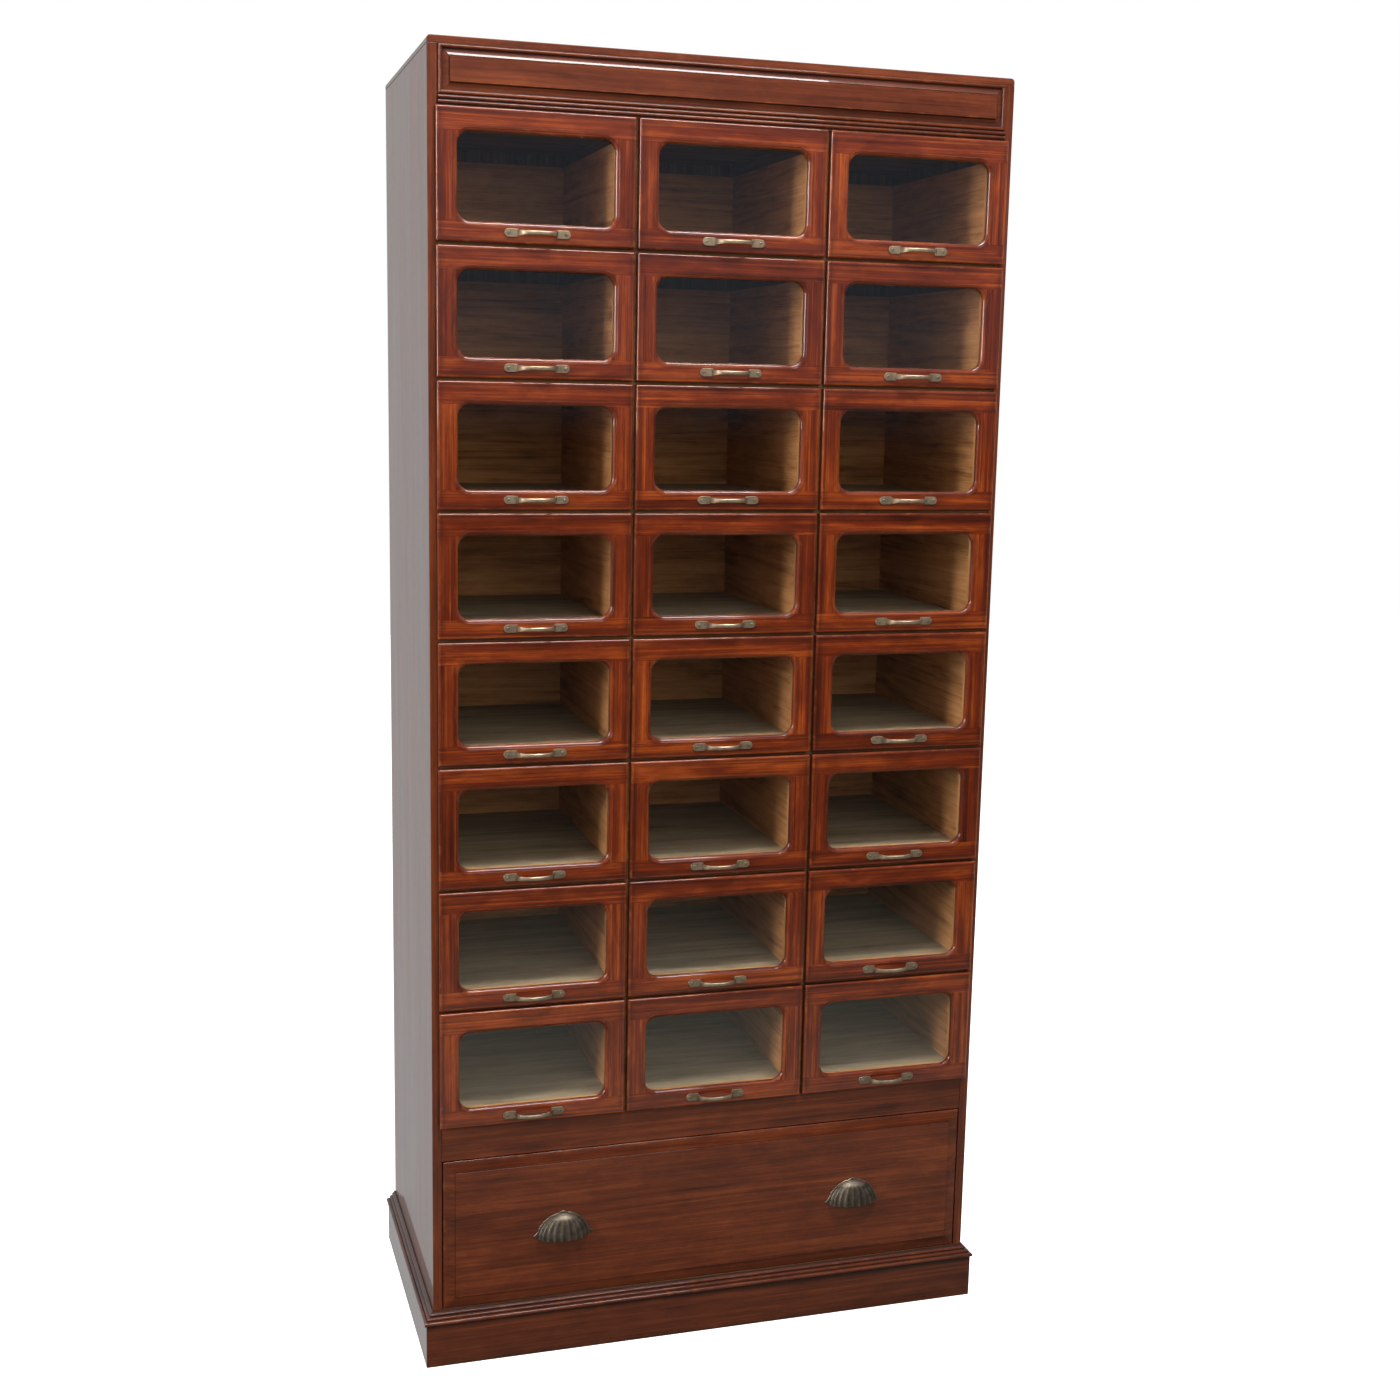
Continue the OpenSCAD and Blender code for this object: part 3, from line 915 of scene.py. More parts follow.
@dataclass
class Plinth:
    """Boards on four sides under a planted moulding, mitred at the front corners."""

    board_h: float = 76 * MM
    board_t: float = 25 * MM
    moulding_h: float = 21 * MM
    nose: float = 3.6 * MM
    bead: float = 2.1 * MM
    softness: float = 2.2 * MM

    def build(self) -> None:
        """Makes the boards and the moulding."""
        low, high = (Vector(c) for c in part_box("plinth"))
        side_low, side_high = (Vector(c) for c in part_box("left_side"))
        self.case_half = -side_low.x
        self.case_front = side_low.y
        self.rear = high.y
        self.reach = side_low.y - low.y - self.nose
        self.boards()
        self.moulding()

    def run(self, piece: Piece, outline: list[tuple[float, float, float, float]]) -> None:
        """Runs an outline round the three seen sides in three mitred lengths.

        Args:
            piece: The piece that the lengths go into.
            outline: Points of (distance out from the case, height, wear, dirtiness with painted
                shade).
        """
        corners = []
        for side, front in ((-1, False), (-1, True), (1, True), (1, False)):
            ring = []
            for out, z, wear, dirt_and_shade in outline:
                y = self.case_front - out if front else self.rear
                ring.append(Dot(Vector((side * (self.case_half + out), y, z)), wear, dirt_and_shade))
            corners.append(ring)
        for start, end, along in ((0, 1, Axis.Y), (1, 2, Axis.X), (2, 3, Axis.Y)):
            piece.add(Solid().skin([corners[start], corners[end]]), along)

    def boards(self) -> None:
        """Makes the plain boards."""
        soft = self.softness
        top = self.board_h - GLUE_LINE
        outer = self.reach
        inner = self.reach - self.board_t
        # The last number is dirtiness with painted shade: darker at the foot, darkest at the top
        # under the moulding, painted shade where parts meet.
        outline = [(inner, 0.0, 0.0, 0.5), (outer - soft, 0.0, 0.2, 0.7)]
        outline += [(x, z, 0.7, 0.4) for x, z in arc(outer - soft, soft, soft, -70, 0, 3)]
        outline += [(outer, 0.2 * top, 0.0, 0.1), (outer, 0.85 * top, 0.0, 0.0),
                    (outer, top, 0.0, 0.9)]
        outline += [(inner, top, 0.0, 0.4)]
        piece = Piece("plinth_boards", DARK_MAHOGANY)
        self.run(piece, outline)
        half = self.case_half + inner - GLUE_LINE
        piece.add(Solid().board(Vector((-half, self.rear - self.board_t, 0.0)),
                                Vector((half, self.rear, top))))
        piece.place(CARCASS, "plinth")

    def moulding(self) -> None:
        """Makes the moulding: a half-round nose under two fine beads."""
        foot = self.board_h
        step = (self.moulding_h - 2 * self.nose) / 3
        # The last number is dirtiness with painted shade: darkest in the quirks beside the nose and
        # the beads and along the joints, as painted shadow.
        outline = [(GLUE_LINE, foot, 0.0, 0.6), (self.reach, foot, 0.0, 1.0)]
        outline += [(x, z, 0.75 if z > foot + self.nose else 0.45, 0.0)
                    for x, z in arc(self.reach, foot + self.nose, self.nose, -80, 90, 9)]
        shelf = foot + 2 * self.nose
        bead_x = self.reach * 2 / 3
        outline.append((bead_x + self.bead, shelf - 0.1 * MM, 0.0, 1.0))
        outline += [(x, z, 0.5, 0.0) for x, z in arc(bead_x, shelf + 0.55 * step, self.bead, -30,
                                                     80, 6)]
        outline.append((self.reach * 0.42, shelf + 1.25 * step, 0.0, 1.0))
        outline += [(x, z, 0.5, 0.0)
                    for x, z in arc(self.reach / 3, shelf + 1.75 * step, self.bead, -35, 85, 6)]
        top = foot + self.moulding_h
        outline += [(self.reach / 5, top - 1.4 * MM, 0.0, 1.0), (self.reach / 6, top, 0.4, 0.3)]
        outline.append((GLUE_LINE, top, 0.0, 0.9))
        piece = Piece("plinth_moulding", DARK_MAHOGANY)
        self.run(piece, outline)
        piece.place(CARCASS, "plinth")


# ---------------------------------------------------------------- drawers


@dataclass
class Box:
    """The box behind a drawer's front: two sides, a back and a floor between them."""

    side_t: float
    floor_t: float
    floor_up: float = 8 * MM
    softness: float = 0.8 * MM
    floor_softness: float = 0.3 * MM

    def build(self, name: str, body: str, low: Vector, high: Vector, *nodes: str) -> Piece:
        """Makes the box.

        Args:
            name: The piece's name.
            body: The body that it moves with.
            low: Its lowest corner.
            high: Its highest corner.
            nodes: The nodes that it stands for.

        Returns:
            The piece, not yet placed.
        """
        piece = Piece(name, DEAL)
        t = self.side_t
        for x in (low.x, high.x - t):
            piece.add(Solid().board(Vector((x, low.y, low.z)), Vector((x + t, high.y, high.z)),
                                    self.softness), Axis.Y)
        piece.add(Solid().board(Vector((low.x + t, high.y - t, low.z)),
                                Vector((high.x - t, high.y, high.z)),
                                self.softness), Axis.X)
        floor = Piece(f"{name}_floor", DUSTY_DEAL)
        floor_z = low.z + self.floor_up
        floor.add(Solid().board(Vector((low.x + t, low.y, floor_z)),
                                Vector((high.x - t, high.y - t, floor_z + self.floor_t)),
                                self.floor_softness), Axis.X)
        floor.place(body, *nodes)
        return piece


@dataclass
class Pull:
    """A bowed brass pull on two screwed feet."""

    width: float = 105 * MM
    foot_w: float = 22 * MM
    foot_h: float = 13 * MM
    foot_t: float = 2.5 * MM
    reach: float = 21.5 * MM
    grip_h: float = 6.5 * MM
    grip_t: float = 4.5 * MM
    screw: float = 2.6 * MM

    def build(self, name: str, body: str, node: str, middle: Vector) -> None:
        """Makes the pull.

        Args:
            name: Its name.
            body: The body that it moves with.
            node: The node that it stands for.
            middle: Its middle on the drawer's face.
        """
        piece = Piece(name, PULL_BRASS)
        for side in (-1, 1):
            piece.add(self.foot(side, middle))
            aside = side * (self.width / 2 - self.foot_h * 0.52)
            piece.add(self.screw_head(middle + Vector((aside, 0, 0))))
        piece.add(self.grip(middle))
        piece.place(body, node)

    def foot(self, side: int, middle: Vector) -> Solid:
        """Makes one foot: rounded at its outer end and square-shouldered at its inner one.

        Args:
            side: -1 for the left foot, 1 for the right.
            middle: The pull's middle.

        Returns:
            The foot.
        """
        start = self.width / 2 - self.foot_w
        end = self.width / 2
        half = self.foot_h / 2
        outline = [(start, -half * 0.94), (start + 0.25 * self.foot_w, -half)]
        outline += arc(end - half, 0.0, half, -90, 90, 10)
        outline += [(start + 0.25 * self.foot_w, half), (start, half * 0.94)]
        centre = Vector(((start + end) / 2, 0.0, 0.0))
        rings = []
        for depth, shrink, wear in ((0.0, 1.0, 0.0), (0.6, 1.0, 0.3), (0.9, 0.96, 0.8),
                                    (1.0, 0.88, 0.5)):
            ring = []
            for x, z in outline:
                at = centre + (Vector((x, 0.0, z)) - centre) * shrink
                y = -GLUE_LINE - depth * self.foot_t
                # Painted shade with dirtiness where the foot sits on the drawer's face.
                dirt_and_shade = 0.6 if depth == 0.0 else 0.0
                ring.append(Dot(middle + Vector((side * at.x, y, at.z)), wear, dirt_and_shade))
            rings.append(ring)
        return Solid().skin(rings)

    def grip(self, middle: Vector) -> Solid:
        """Makes the bowed grip, thicker where it springs from the feet.

        Args:
            middle: The pull's middle.

        Returns:
            The grip.
        """
        half = self.width / 2 - self.foot_w + self.grip_t * 0.4
        spring = self.foot_t * 0.8
        rise = self.reach - self.grip_t / 2 - spring
        steps, sides = 28, 12
        fullness = 2.6
        rings = []
        for k in range(steps + 1):
            t = k / steps * 2 - 1
            bow = math.sqrt(max(0.0, 1.0 - abs(t) ** fullness))
            slope = -rise * 1.15 * abs(t) ** 1.6 * (1 if t > 0 else -1) / half
            ease = abs(t) ** 6
            tall = self.grip_h * (1.0 + 0.55 * ease)
            thick = self.grip_t * (1.0 + 0.1 * ease)
            at = middle + Vector((t * half, -(spring + rise * bow), 0.0))
            across = Vector((slope, -1.0, 0.0)).normalized()
            ring = []
            for turn in range(sides):
                a = math.radians(360 / sides * turn)
                squash = (abs(math.cos(a)) ** 4 + abs(math.sin(a)) ** 4) ** -0.25
                aside = across * (math.cos(a) * squash * thick / 2)
                offset = aside + Vector((0, 0, math.sin(a) * squash * tall / 2))
                rub = max(0.0, math.cos(a)) * (0.35 + 0.65 * (1 - abs(t)))
                # Dirtiness and painted shade darken the grip's ends where it springs from the feet.
                ring.append(Dot(at + offset, rub, 0.5 * ease))
            rings.append(ring)
        return Solid().skin(rings)

    def screw_head(self, at: Vector) -> Solid:
        """Makes a low round screw head, dished in its middle, on a foot.

        Args:
            at: Its middle on the drawer's face.

        Returns:
            The head.
        """
        rings = []
        # Dirtiness and painted shade darken the head's rim against the foot and its dished middle.
        for out, share, wear in ((0.0, 1.0, 0.0), (0.25, 0.98, 0.4), (0.45, 0.6, 0.5),
                                 (0.3, 0.18, 0.0)):
            y = -self.foot_t - GLUE_LINE - out * self.screw
            ring = [Dot(at + Vector((self.screw * share * math.cos(a), y,
                                     self.screw * share * math.sin(a))),
                        wear, 0.9 - wear) for a in (math.radians(22.5 * k) for k in range(16))]
            rings.append(ring)
        return Solid().skin(rings)


@dataclass
class SmallDrawer:
    """A drawer with a framed glass front, a bowed pull and a pine box."""

    row: int
    column: str
    lip_t: float = 12 * MM
    tongue_t: float = 8.5 * MM
    tongue_in: float = 5.5 * MM
    edge_round: float = 3 * MM
    corner_r: float = 1.2 * MM
    back_corner_r: float = 0.3 * MM
    tongue_gap: float = 1 * MM
    strip_softness: float = 0.6 * MM
    ovolo: float = 5.5 * MM
    sight_t: float = 4 * MM
    window_r: float = 25 * MM
    pane_lap: float = 7 * MM
    strip_w: float = 6 * MM
    pull_up: float = 16.5 * MM
    box_h: float = 165 * MM
    box_clear: float = 2 * MM
    box: Box = field(default_factory=lambda: Box(10 * MM, 5 * MM))
    pull: Pull = field(default_factory=Pull)

    @property
    def node(self) -> str:
        """The drawer's CAD node."""
        return f"drawer_{self.row}_{self.column}"

    @property
    def pane(self) -> str:
        """The pane's CAD node."""
        return f"pane_{self.row}_{self.column}"

    @property
    def body(self) -> str:
        """The body that the drawer moves with."""
        return f"small_drawer_{self.row}_{self.column}"

    def build(self) -> None:
        """Makes the drawer."""
        low, high = (Vector(c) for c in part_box(self.node))
        pane_low, pane_high = (Vector(c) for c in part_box(self.pane))
        self.face = low.y + self.pull.reach
        self.middle = Vector(((low.x + high.x) / 2, self.face, (low.z + high.z) / 2))
        self.window = Vector((self.middle.x, self.face, (pane_low.z + pane_high.z) / 2))
        self.half_w = (high.x - low.x) / 2
        self.half_h = (high.z - low.z) / 2
        self.sight_half_w = (pane_high.x - pane_low.x) / 2 - self.pane_lap
        self.sight_half_h = (pane_high.z - pane_low.z) / 2 - self.pane_lap
        self.front()
        self.case(high.y)
        grip_at = Vector((self.middle.x, self.face, low.z + self.pull_up))
        self.pull.build(f"pull_{self.row}_{self.column}", self.body, self.node, grip_at)
        Finishes.dress_node(self.pane, GLASS)

    def front_rings(self) -> list[Ring]:
        """Gives the rings of the frame, from the lip round the face, through the window and back.

        Returns:
            The rings.
        """
        w, h, soft = self.half_w, self.half_h, self.edge_round
        # The lip's back and the sides of its edge carry painted shade, for the dark gaps between
        # the fronts.
        rings = [oblong(w, h, self.corner_r, self.lip_t, self.middle, 0.0, 0.8),
                 oblong(w, h, self.corner_r, soft * 1.6, self.middle, 0.0, 0.35)]
        round_steps = 5
        for k in range(round_steps + 1):
            turn = math.radians(90 * k / round_steps)
            inset = soft * (1 - math.cos(turn))
            y = soft * (1 - math.sin(turn))
            rings.append(oblong(w - inset, h - inset, self.corner_r, y, self.middle,
                                0.25 + 0.45 * math.sin(2 * turn),
                                0.25 - 0.25 * math.sin(turn)))
        # The face darkens towards its outer edge.
        for inset, dirt_and_shade in ((soft + 2.5 * MM, 0.5), (8.5 * MM, 0.28), (15 * MM, 0.0)):
            rings.append(oblong(w - inset, h - inset, self.corner_r, 0.0, self.middle, 0.0, dirt_and_shade))
        sw, sh, sr = self.sight_half_w, self.sight_half_h, self.window_r - self.ovolo
        o = self.ovolo
        # Full dark at the step behind the ovolo and at the sight edge by the glass is painted
        # shadow round the window.
        section = [(o + 6 * MM, 0.0, 0.0, 0.0), (o + 2.5 * MM, 0.0, 0.0, 0.3), (o, 0.0, 0.5, 0.1),
                   (o - 0.25 * MM, 0.9 * MM, 0.0, 1.0)]
        section += [((o - 0.4 * MM) * (1 - math.sin(t)),
                     MM + (o - MM) * (1 - math.cos(t)), 0.12, 0.12)
                    for t in (math.radians(15 * k) for k in range(7))]
        section += [(0.0, o + self.sight_t, 0.0, 1.0)]
        rings += [oblong(sw + out, sh + out, sr + out, y, self.window, wear, dirt_and_shade)
                  for out, y, wear, dirt_and_shade in section]
        lap = self.pane_lap + 2 * GLUE_LINE
        depth = self.lip_t + self.tongue_t
        rings.append(oblong(sw + lap, sh + lap, self.back_corner_r, o + self.sight_t, self.window))
        rings.append(oblong(sw + lap, sh + lap, self.back_corner_r, depth, self.window))
        tongue = self.tongue_in
        rings.append(oblong(w - tongue, h - tongue, self.back_corner_r, depth, self.middle))
        # Painted shade where the tongue meets the lip's back.
        rings.append(oblong(w - tongue, h - tongue, self.back_corner_r, self.lip_t, self.middle,
                            0.0, 0.8))
        return rings

    def front(self) -> None:
        """Makes the front's two rails, and its two stiles between them as one cut."""
        piece = Piece(f"front_{self.row}_{self.column}", MAHOGANY)
        low = self.window.z - self.sight_half_h
        high = self.window.z + self.sight_half_h
        beyond = 2 * self.half_h
        for start, end, along in ((low - beyond, low - GLUE_LINE, Axis.X),
                                  (high + GLUE_LINE, high + beyond, Axis.X),
                                  (low + GLUE_LINE, high - GLUE_LINE, Axis.Z)):
            frame_part = Solid().skin(self.front_rings(), endless=True).kept_between(start, end)
            piece.add(frame_part, along)
        piece.place(self.body, self.node)

    def case(self, rear: float) -> None:
        """Makes the box and the strips behind the glass.

        Args:
            rear: The box's rear face.
        """
        half = self.half_w - self.tongue_in + self.tongue_gap - self.box_clear
        front = self.face + self.lip_t + self.tongue_t + 2 * GLUE_LINE
        floor = self.middle.z - self.half_h + self.tongue_in - self.tongue_gap + self.box_clear
        low = Vector((self.middle.x - half, front, floor))
        high = Vector((self.middle.x + half, rear, floor + self.box_h))
        piece = self.box.build(f"box_{self.row}_{self.column}", self.body, low, high, self.node)
        self.strips(piece)
        piece.place(self.body, self.node)

    def strips(self, piece: Piece) -> None:
        """Adds the four strips that hold the glass.

        Args:
            piece: The piece that they go into.
        """
        pane_low, pane_high = (Vector(c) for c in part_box(self.pane))
        y0 = pane_high.y + GLUE_LINE
        y1 = self.face + self.lip_t + self.tongue_t - GLUE_LINE
        w = self.strip_w
        for z in (pane_low.z, pane_high.z - w):
            piece.add(Solid().board(Vector((pane_low.x, y0, z)), Vector((pane_high.x, y1, z + w)),
                                    self.strip_softness), Axis.X)
        for x in (pane_low.x, pane_high.x - w):
            piece.add(Solid().board(Vector((x, y0, pane_low.z + w)),
                                    Vector((x + w, y1, pane_high.z - w)),
                                    self.strip_softness), Axis.Z)


@dataclass
class CupPull:
    """A hollow fluted brass cup, open below, on a thin flange with two screwed tips."""

    width: float = 105 * MM
    shell_w: float = 90 * MM
    height: float = 42 * MM
    out: float = 24 * MM
    wall: float = 2 * MM
    flange: float = 4 * MM
    flange_t: float = 1.6 * MM
    flutes: int = 11
    screw: float = 1.8 * MM

    def build(self, name: str, body: str, foot: Vector) -> None:
        """Makes the cup.

        Args:
            name: Its name.
            body: The body that it moves with.
            foot: The middle of its open edge, on the drawer's face.
        """
        piece = Piece(name, CUP_BRASS)
        piece.add(self.shell(foot))
        piece.add(self.plate(foot))
        pull = Pull(screw=self.screw, foot_t=self.flange_t)
        for side in (-1, 1):
            aside = side * (self.width / 2 - self.flange)
            piece.add(pull.screw_head(foot + Vector((aside, 0, self.flange))))
        piece.place(body, "cup_pulls")

    def dot(self, foot: Vector, turn: float, lift: float, inset: float) -> Dot:
        """Gives a point of the shell.

        Args:
            foot: The middle of its open edge.
            turn: The angle round from the left end, in radians.
            lift: The angle up from the open edge, in radians.
            inset: How far inside the outer face it is.

        Returns:
            The point.
        """
        fade = max(0.0, 1.0 - (lift / math.radians(58)) ** 2)
        ridge = math.cos(2 * self.flutes * turn)
        swell = 1.0 + 0.035 * ridge * fade * math.sin(turn) ** 0.5 if 0 < turn < math.pi else 1.0
        x = -(self.shell_w / 2 - inset) * math.cos(turn) * math.cos(lift) * swell
        y = -(self.out * 0.955 - inset) * math.sin(turn) * math.cos(lift) * swell
        z = (self.height - inset) * math.sin(lift)
        wear = 0.55 * fade * max(0.0, ridge) + (0.5 if lift > math.radians(55) else 0.0)
        # Painted shade with dirtiness in the flutes' hollows outside, and painted shade all over
        # the inside of the cup.
        return Dot(foot + Vector((x, y - GLUE_LINE, z)), wear if inset == 0.0 else 0.0,
                   0.75 * fade * max(0.0, -ridge) if inset == 0.0 else 0.9)

    def shell(self, foot: Vector) -> Solid:
        """Makes the fluted shell, from its outer open edge over the crown and back inside.

        Args:
            foot: The middle of its open edge.

        Returns:
            The shell.
        """
        across, up = 12 * self.flutes, 14
        crown = math.radians(88)
        outer = [(0.0, crown * k / up) for k in range(up + 1)]
        inner = [(self.wall, crown * k / up) for k in range(up, -1, -1)]
        rings = []
        for k in range(across + 1):
            turn = math.pi * k / across
            rings.append([self.dot(foot, turn, lift, inset) for inset, lift in outer + inner])
        return Solid().skin(rings)

    def plate(self, foot: Vector) -> Solid:
        """Makes the flange, a thin band round the shell with a lug on top and a tip at each end.

        Args:
            foot: The middle of the shell's open edge.

        Returns:
            The flange.
        """
        half, top = self.shell_w / 2, self.height
        inner_edge, outer_edge = [], []
        steps = 40
        for k in range(steps + 1):
            a = math.pi * k / steps
            tip = max(0.0, 1.0 - math.sin(a) / 0.28) ** 1.4
            lug = max(0.0, 1.0 - abs(a - math.pi / 2) / 0.13) ** 0.6
            wide = 0.35 * self.flange + (self.width / 2 - half - 0.35 * self.flange) * tip
            outer_edge.append((-(half + wide) * math.cos(a),
                               (top + 0.35 * self.flange + 0.65 * self.flange * lug) * math.sin(a)
                               + self.flange * tip))
            inner_edge.append((-(half - self.wall) * math.cos(a), (top - self.wall) * math.sin(a)))
        rings = []
        for (ox, oz), (ix, iz) in zip(outer_edge, inner_edge):
            ring = []
            for x, z, out, wear in ((ox, oz, 0.0, 0.0), (ox, oz, 0.6, 0.7),
                                    (ox * 0.985, oz * 0.985, 1.0, 0.7),
                                    (ix, iz, 1.0, 0.0), (ix, iz, 0.0, 0.0)):
                ring.append(Dot(foot + Vector((x, -GLUE_LINE - out * self.flange_t, z)), wear, 0.2))
            rings.append(ring)
        return Solid().skin(rings)


@dataclass
class WideDrawer:
    """The deep drawer at the bottom, with a raised field and two cup pulls."""

    body: str = "wide_drawer"
    board_t: float = 15 * MM
    border: float = 20 * MM
    step: float = 1.5 * MM
    soft: float = 2.2 * MM
    corner_r: float = 0.8 * MM
    box_h: float = 225 * MM
    box_in: float = 0.5 * MM
    box: Box = field(default_factory=lambda: Box(12 * MM, 7 * MM))
    cup: CupPull = field(default_factory=CupPull)

    def build(self) -> None:
        """Makes the drawer."""
        low, high = (Vector(c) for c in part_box("bottom_drawer"))
        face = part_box("left_side")[0][1]
        self.front(Vector((low.x, face, low.z)), high, face - low.y)
        box_low = Vector((low.x + self.box_in, face + self.board_t + GLUE_LINE, low.z))
        box_high = Vector((high.x - self.box_in, high.y, low.z + self.box_h))
        piece = self.box.build("wide_box", self.body, box_low, box_high, "bottom_drawer")
        piece.place(self.body, "bottom_drawer")
        cup_low, cup_high = (Vector(c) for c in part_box("cup_pulls"))
        reach = (cup_high.x - cup_low.x) / 2 - self.cup.width / 2
        for name, side in (("left_cup_pull", -1), ("right_cup_pull", 1)):
            self.cup.build(name, self.body, Vector((side * reach, low.y, cup_low.z)))

    def front(self, low: Vector, high: Vector, out: float) -> None:
        """Makes the front: a rounded edge, a sloping border and a small step up to the field.

        Args:
            low: Its lowest corner at the border's face.
            high: Its highest corner.
            out: How far the field stands out.
        """
        middle = Vector(((low.x + high.x) / 2, low.y, (low.z + high.z) / 2))
        half_w, half_h = (high.x - low.x) / 2, (high.z - low.z) / 2
        # Each point is inset, depth, wear, and dirtiness with painted shade; the dark back edge and
        # the full dark at the step up to the field are painted shadow.
        profile = [(0.0, self.board_t, 0.0, 0.6), (0.0, self.soft, 0.0, 0.7)]
        profile += [(self.soft - x, self.soft - y, 0.6, 0.1)
                    for x, y in arc(0.0, 0.0, self.soft, 20, 90, 3)]
        slope_out = out - self.step
        profile += [(self.border * t, -slope_out * t, 0.05, 0.1) for t in (0.3, 0.7, 0.96)]
        profile += [(self.border, -slope_out, 0.0, 1.0), (self.border + 0.3 * MM, -out, 0.4, 0.0),
                    (self.border + 3 * MM, -out, 0.1, 0.0)]
        rings = [oblong(half_w - inset, half_h - inset, self.corner_r, y, middle, wear, dirt_and_shade)
                 for inset, y, wear, dirt_and_shade in profile]
        piece = Piece("wide_front", CASE_MAHOGANY)
        piece.add(Solid().skin(rings), Axis.X)
        piece.place(self.body, "bottom_drawer")


# ---------------------------------------------------------------- studio


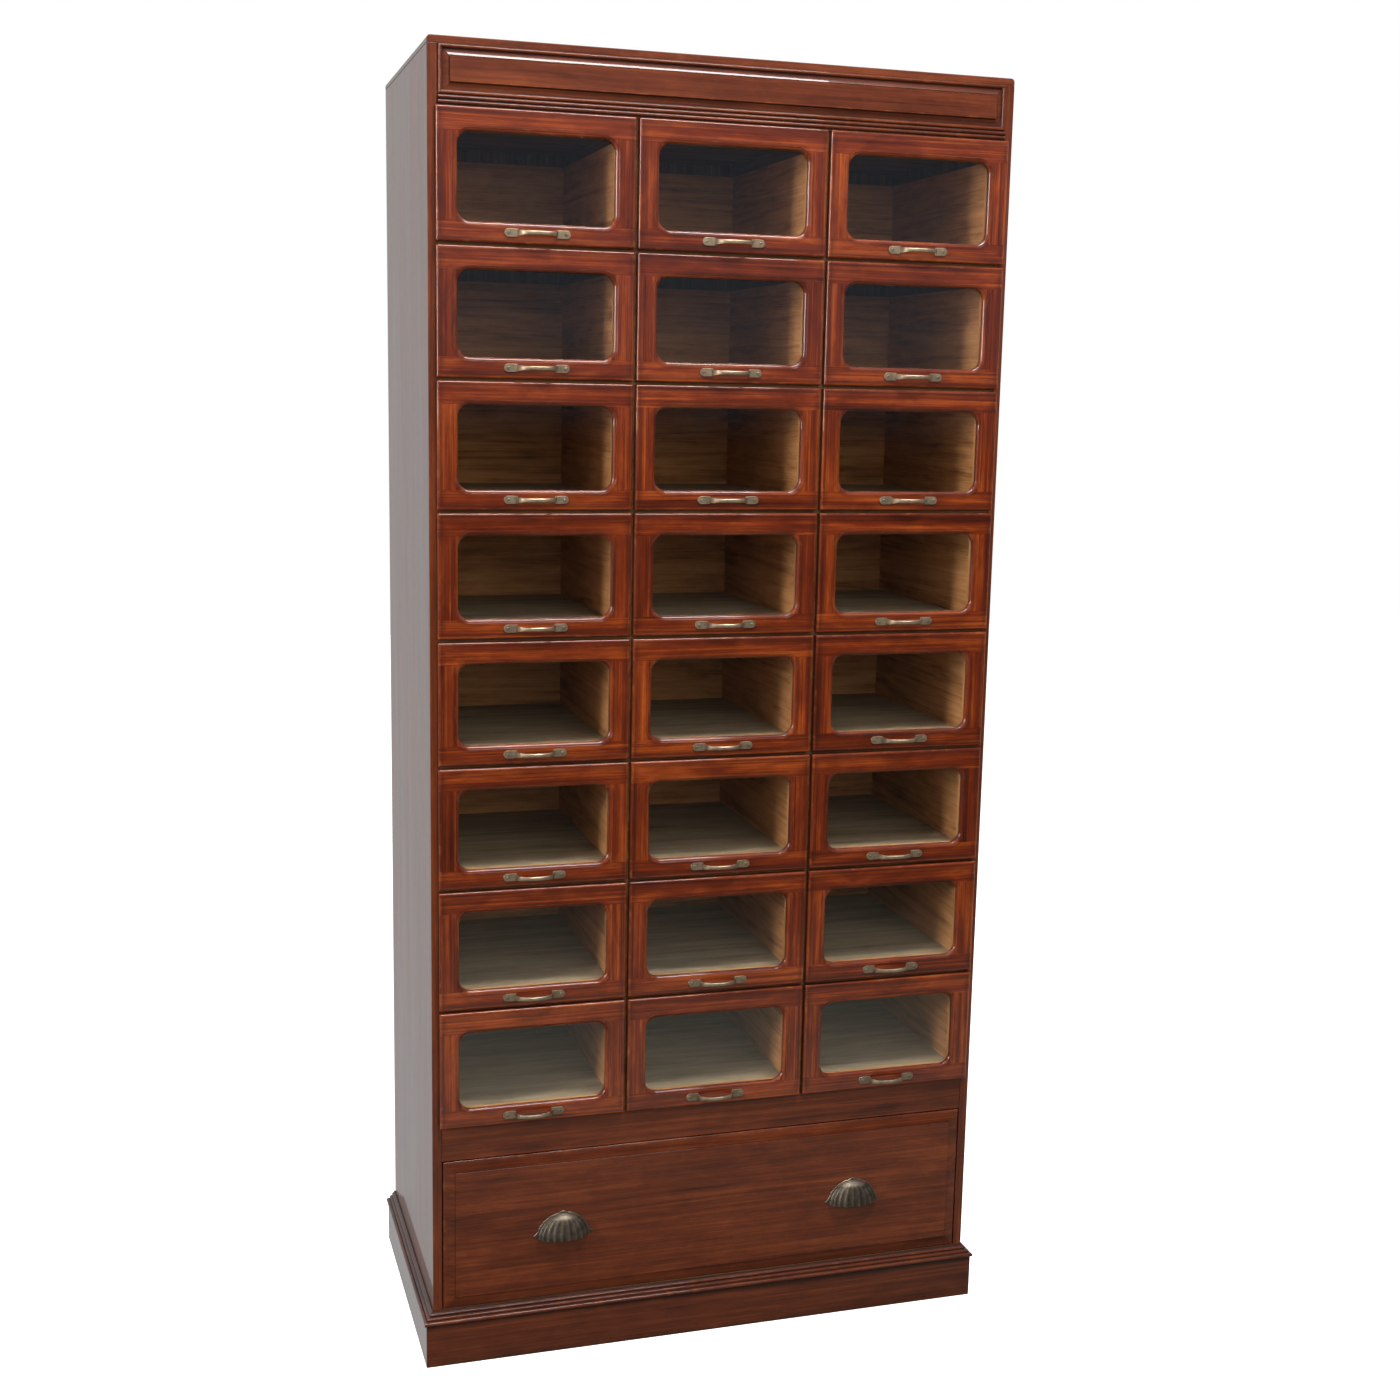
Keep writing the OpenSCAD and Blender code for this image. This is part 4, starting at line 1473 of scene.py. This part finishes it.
@dataclass
class Studio:
    """The camera, the pale floor, the soft lights and the room that the glass and polish mirror."""

    stand: tuple[float, float, float] = (-0.918, -2.849, 1.646)
    pitch: float = -9.656
    roll: float = -1.148
    yaw: float = -17.106
    lens: float = 46.59
    room: tuple = ((-1.0, (0.1, 0.09, 0.075)), (-0.47, (0.14, 0.13, 0.11)),
                   (-0.41, (0.46, 0.46, 0.4)),
                   (-0.35, (0.4, 0.4, 0.35)), (-0.26, (0.05, 0.045, 0.035)),
                   (-0.03, (0.016, 0.013, 0.01)),
                   (0.03, (0.21, 0.23, 0.27)), (0.2, (0.15, 0.165, 0.2)), (1.0, (0.3, 0.33, 0.37)))
    yard: Colour = (0.62, 0.64, 0.64)
    yard_starts: float = -0.1
    yard_full: float = 0.35
    floor_roughness: float = 0.65
    floor_glow: float = 0.8

    def build(self) -> None:
        """Sets the scene."""
        self.camera()
        self.floor()
        self.surroundings()
        self.lamp("left_window", (-4.2, -1.9, 2.3), (0.0, 0.0, 1.0), 0.6, 1.7, 125.0)
        self.lamp("front_fill", (0.4, -5.6, 3.0), (0.0, 0.0, 1.1), 4.5, 3.0, 165.0, mirrored=False)
        self.lamp("overhead", (0.2, -2.0, 4.4), (0.0, -0.2, 0.9), 2.0, 0.5, 130.0)
        bpy.context.scene.view_settings.view_transform = "Standard"

    def camera(self) -> None:
        """Places the camera, measured from the small drawers' faces."""
        made = bpy.data.objects.new("camera", bpy.data.cameras.new("camera"))
        bpy.context.scene.collection.objects.link(made)
        made.data.lens = self.lens
        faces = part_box("drawer_1_left")[0][1] + Pull().reach
        turn = Euler((math.radians(self.pitch), math.radians(self.roll), math.radians(self.yaw)),
                     "YXZ").to_matrix()
        aim = turn @ Matrix.Rotation(math.radians(90), 3, "X")
        at = Vector(self.stand) + Vector((0, faces, 0))
        made.matrix_world = Matrix.Translation(at) @ aim.to_4x4()
        bpy.context.scene.camera = made

    def floor(self) -> None:
        """Lays the pale floor. It glows, so that it stays white, and only the camera sees it."""
        mesh = bpy.data.meshes.new("floor")
        near, far, wide = -3.6, 9.0, 9.0
        mesh.from_pydata([(-wide, near, 0), (wide, near, 0), (wide, far, 0), (-wide, far, 0)], [],
                         [(0, 1, 2, 3)])
        made = bpy.data.objects.new("floor", mesh)
        bpy.context.scene.collection.objects.link(made)
        tree = Tree("pale_floor")
        white = (1.0, 1.0, 1.0, 1.0)
        mesh.materials.append(tree.finished(tree.surface(
            {"Base Color": white, "Roughness": self.floor_roughness, "Emission Color": white,
             "Emission Strength": self.floor_glow})))
        made.visible_glossy = made.visible_diffuse = made.visible_transmission = False

    def surroundings(self) -> None:
        """Makes the white backdrop and the mirrored room, which is graded by direction."""
        world = bpy.data.worlds.new("studio")
        bpy.context.scene.world = world
        world.use_nodes = True
        nodes, links = world.node_tree.nodes, world.node_tree.links
        nodes.clear()
        way = nodes.new("ShaderNodeSeparateXYZ")
        links.new(nodes.new("ShaderNodeTexCoord").outputs["Generated"], way.inputs[0])
        lift = nodes.new("ShaderNodeMapRange")
        lift.inputs["From Min"].default_value = -1.0
        links.new(way.outputs["Z"], lift.inputs["Value"])
        rise = nodes.new("ShaderNodeValToRGB")
        links.new(lift.outputs[0], rise.inputs["Fac"])
        while len(rise.color_ramp.elements) < len(self.room):
            rise.color_ramp.elements.new(1.0)
        for element, (height, colour) in zip(rise.color_ramp.elements, self.room):
            element.position = (height + 1.0) / 2
            element.color = (*colour, 1.0)
        behind = nodes.new("ShaderNodeMapRange")
        behind.inputs["From Min"].default_value = self.yard_starts
        behind.inputs["From Max"].default_value = self.yard_full
        links.new(way.outputs["Y"], behind.inputs["Value"])
        tint = nodes.new("ShaderNodeMix")
        tint.data_type = "RGBA"
        links.new(behind.outputs[0], tint.inputs[FACTOR])
        links.new(rise.outputs["Color"], tint.inputs[FIRST_COLOUR])
        tint.inputs[SECOND_COLOUR].default_value = (*self.yard, 1.0)
        room = nodes.new("ShaderNodeBackground")
        links.new(tint.outputs[MIXED_COLOUR], room.inputs["Color"])
        backdrop = nodes.new("ShaderNodeBackground")
        backdrop.inputs["Color"].default_value = (1.0, 1.0, 1.0, 1.0)
        blend = nodes.new("ShaderNodeMixShader")
        links.new(nodes.new("ShaderNodeLightPath").outputs["Is Camera Ray"], blend.inputs[0])
        links.new(room.outputs[0], blend.inputs[1])
        links.new(backdrop.outputs[0], blend.inputs[2])
        links.new(blend.outputs[0], nodes.new("ShaderNodeOutputWorld").inputs["Surface"])

    def lamp(self, name: str, at: tuple, towards: tuple, width: float, height: float, power: float,
             mirrored: bool = True) -> None:
        """Hangs a soft rectangular light.

        Args:
            name: Its name.
            at: Where it is.
            towards: What it points at.
            width: Its width.
            height: Its height.
            power: Its power in watts.
            mirrored: Whether glass and polish mirror it.
        """
        light = bpy.data.lights.new(name, "AREA")
        light.shape = "RECTANGLE"
        light.size = width
        light.size_y = height
        light.energy = power
        made = bpy.data.objects.new(name, light)
        bpy.context.scene.collection.objects.link(made)
        made.location = at
        made.visible_glossy = made.visible_transmission = mirrored
        made.rotation_euler = (Vector(towards) - Vector(at)).to_track_quat("-Z", "Y").to_euler()


def main() -> None:
    """Builds the cabinet and the studio."""
    logging.basicConfig(level=logging.INFO, format="%(name)s: %(message)s")
    Studio().build()
    Carcass().build()
    Frieze().build()
    Plinth().build()
    for row in range(1, ROWS + 1):
        for column in COLUMNS:
            SmallDrawer(row, column).build()
    WideDrawer().build()


if __name__ == "__main__":
    main()
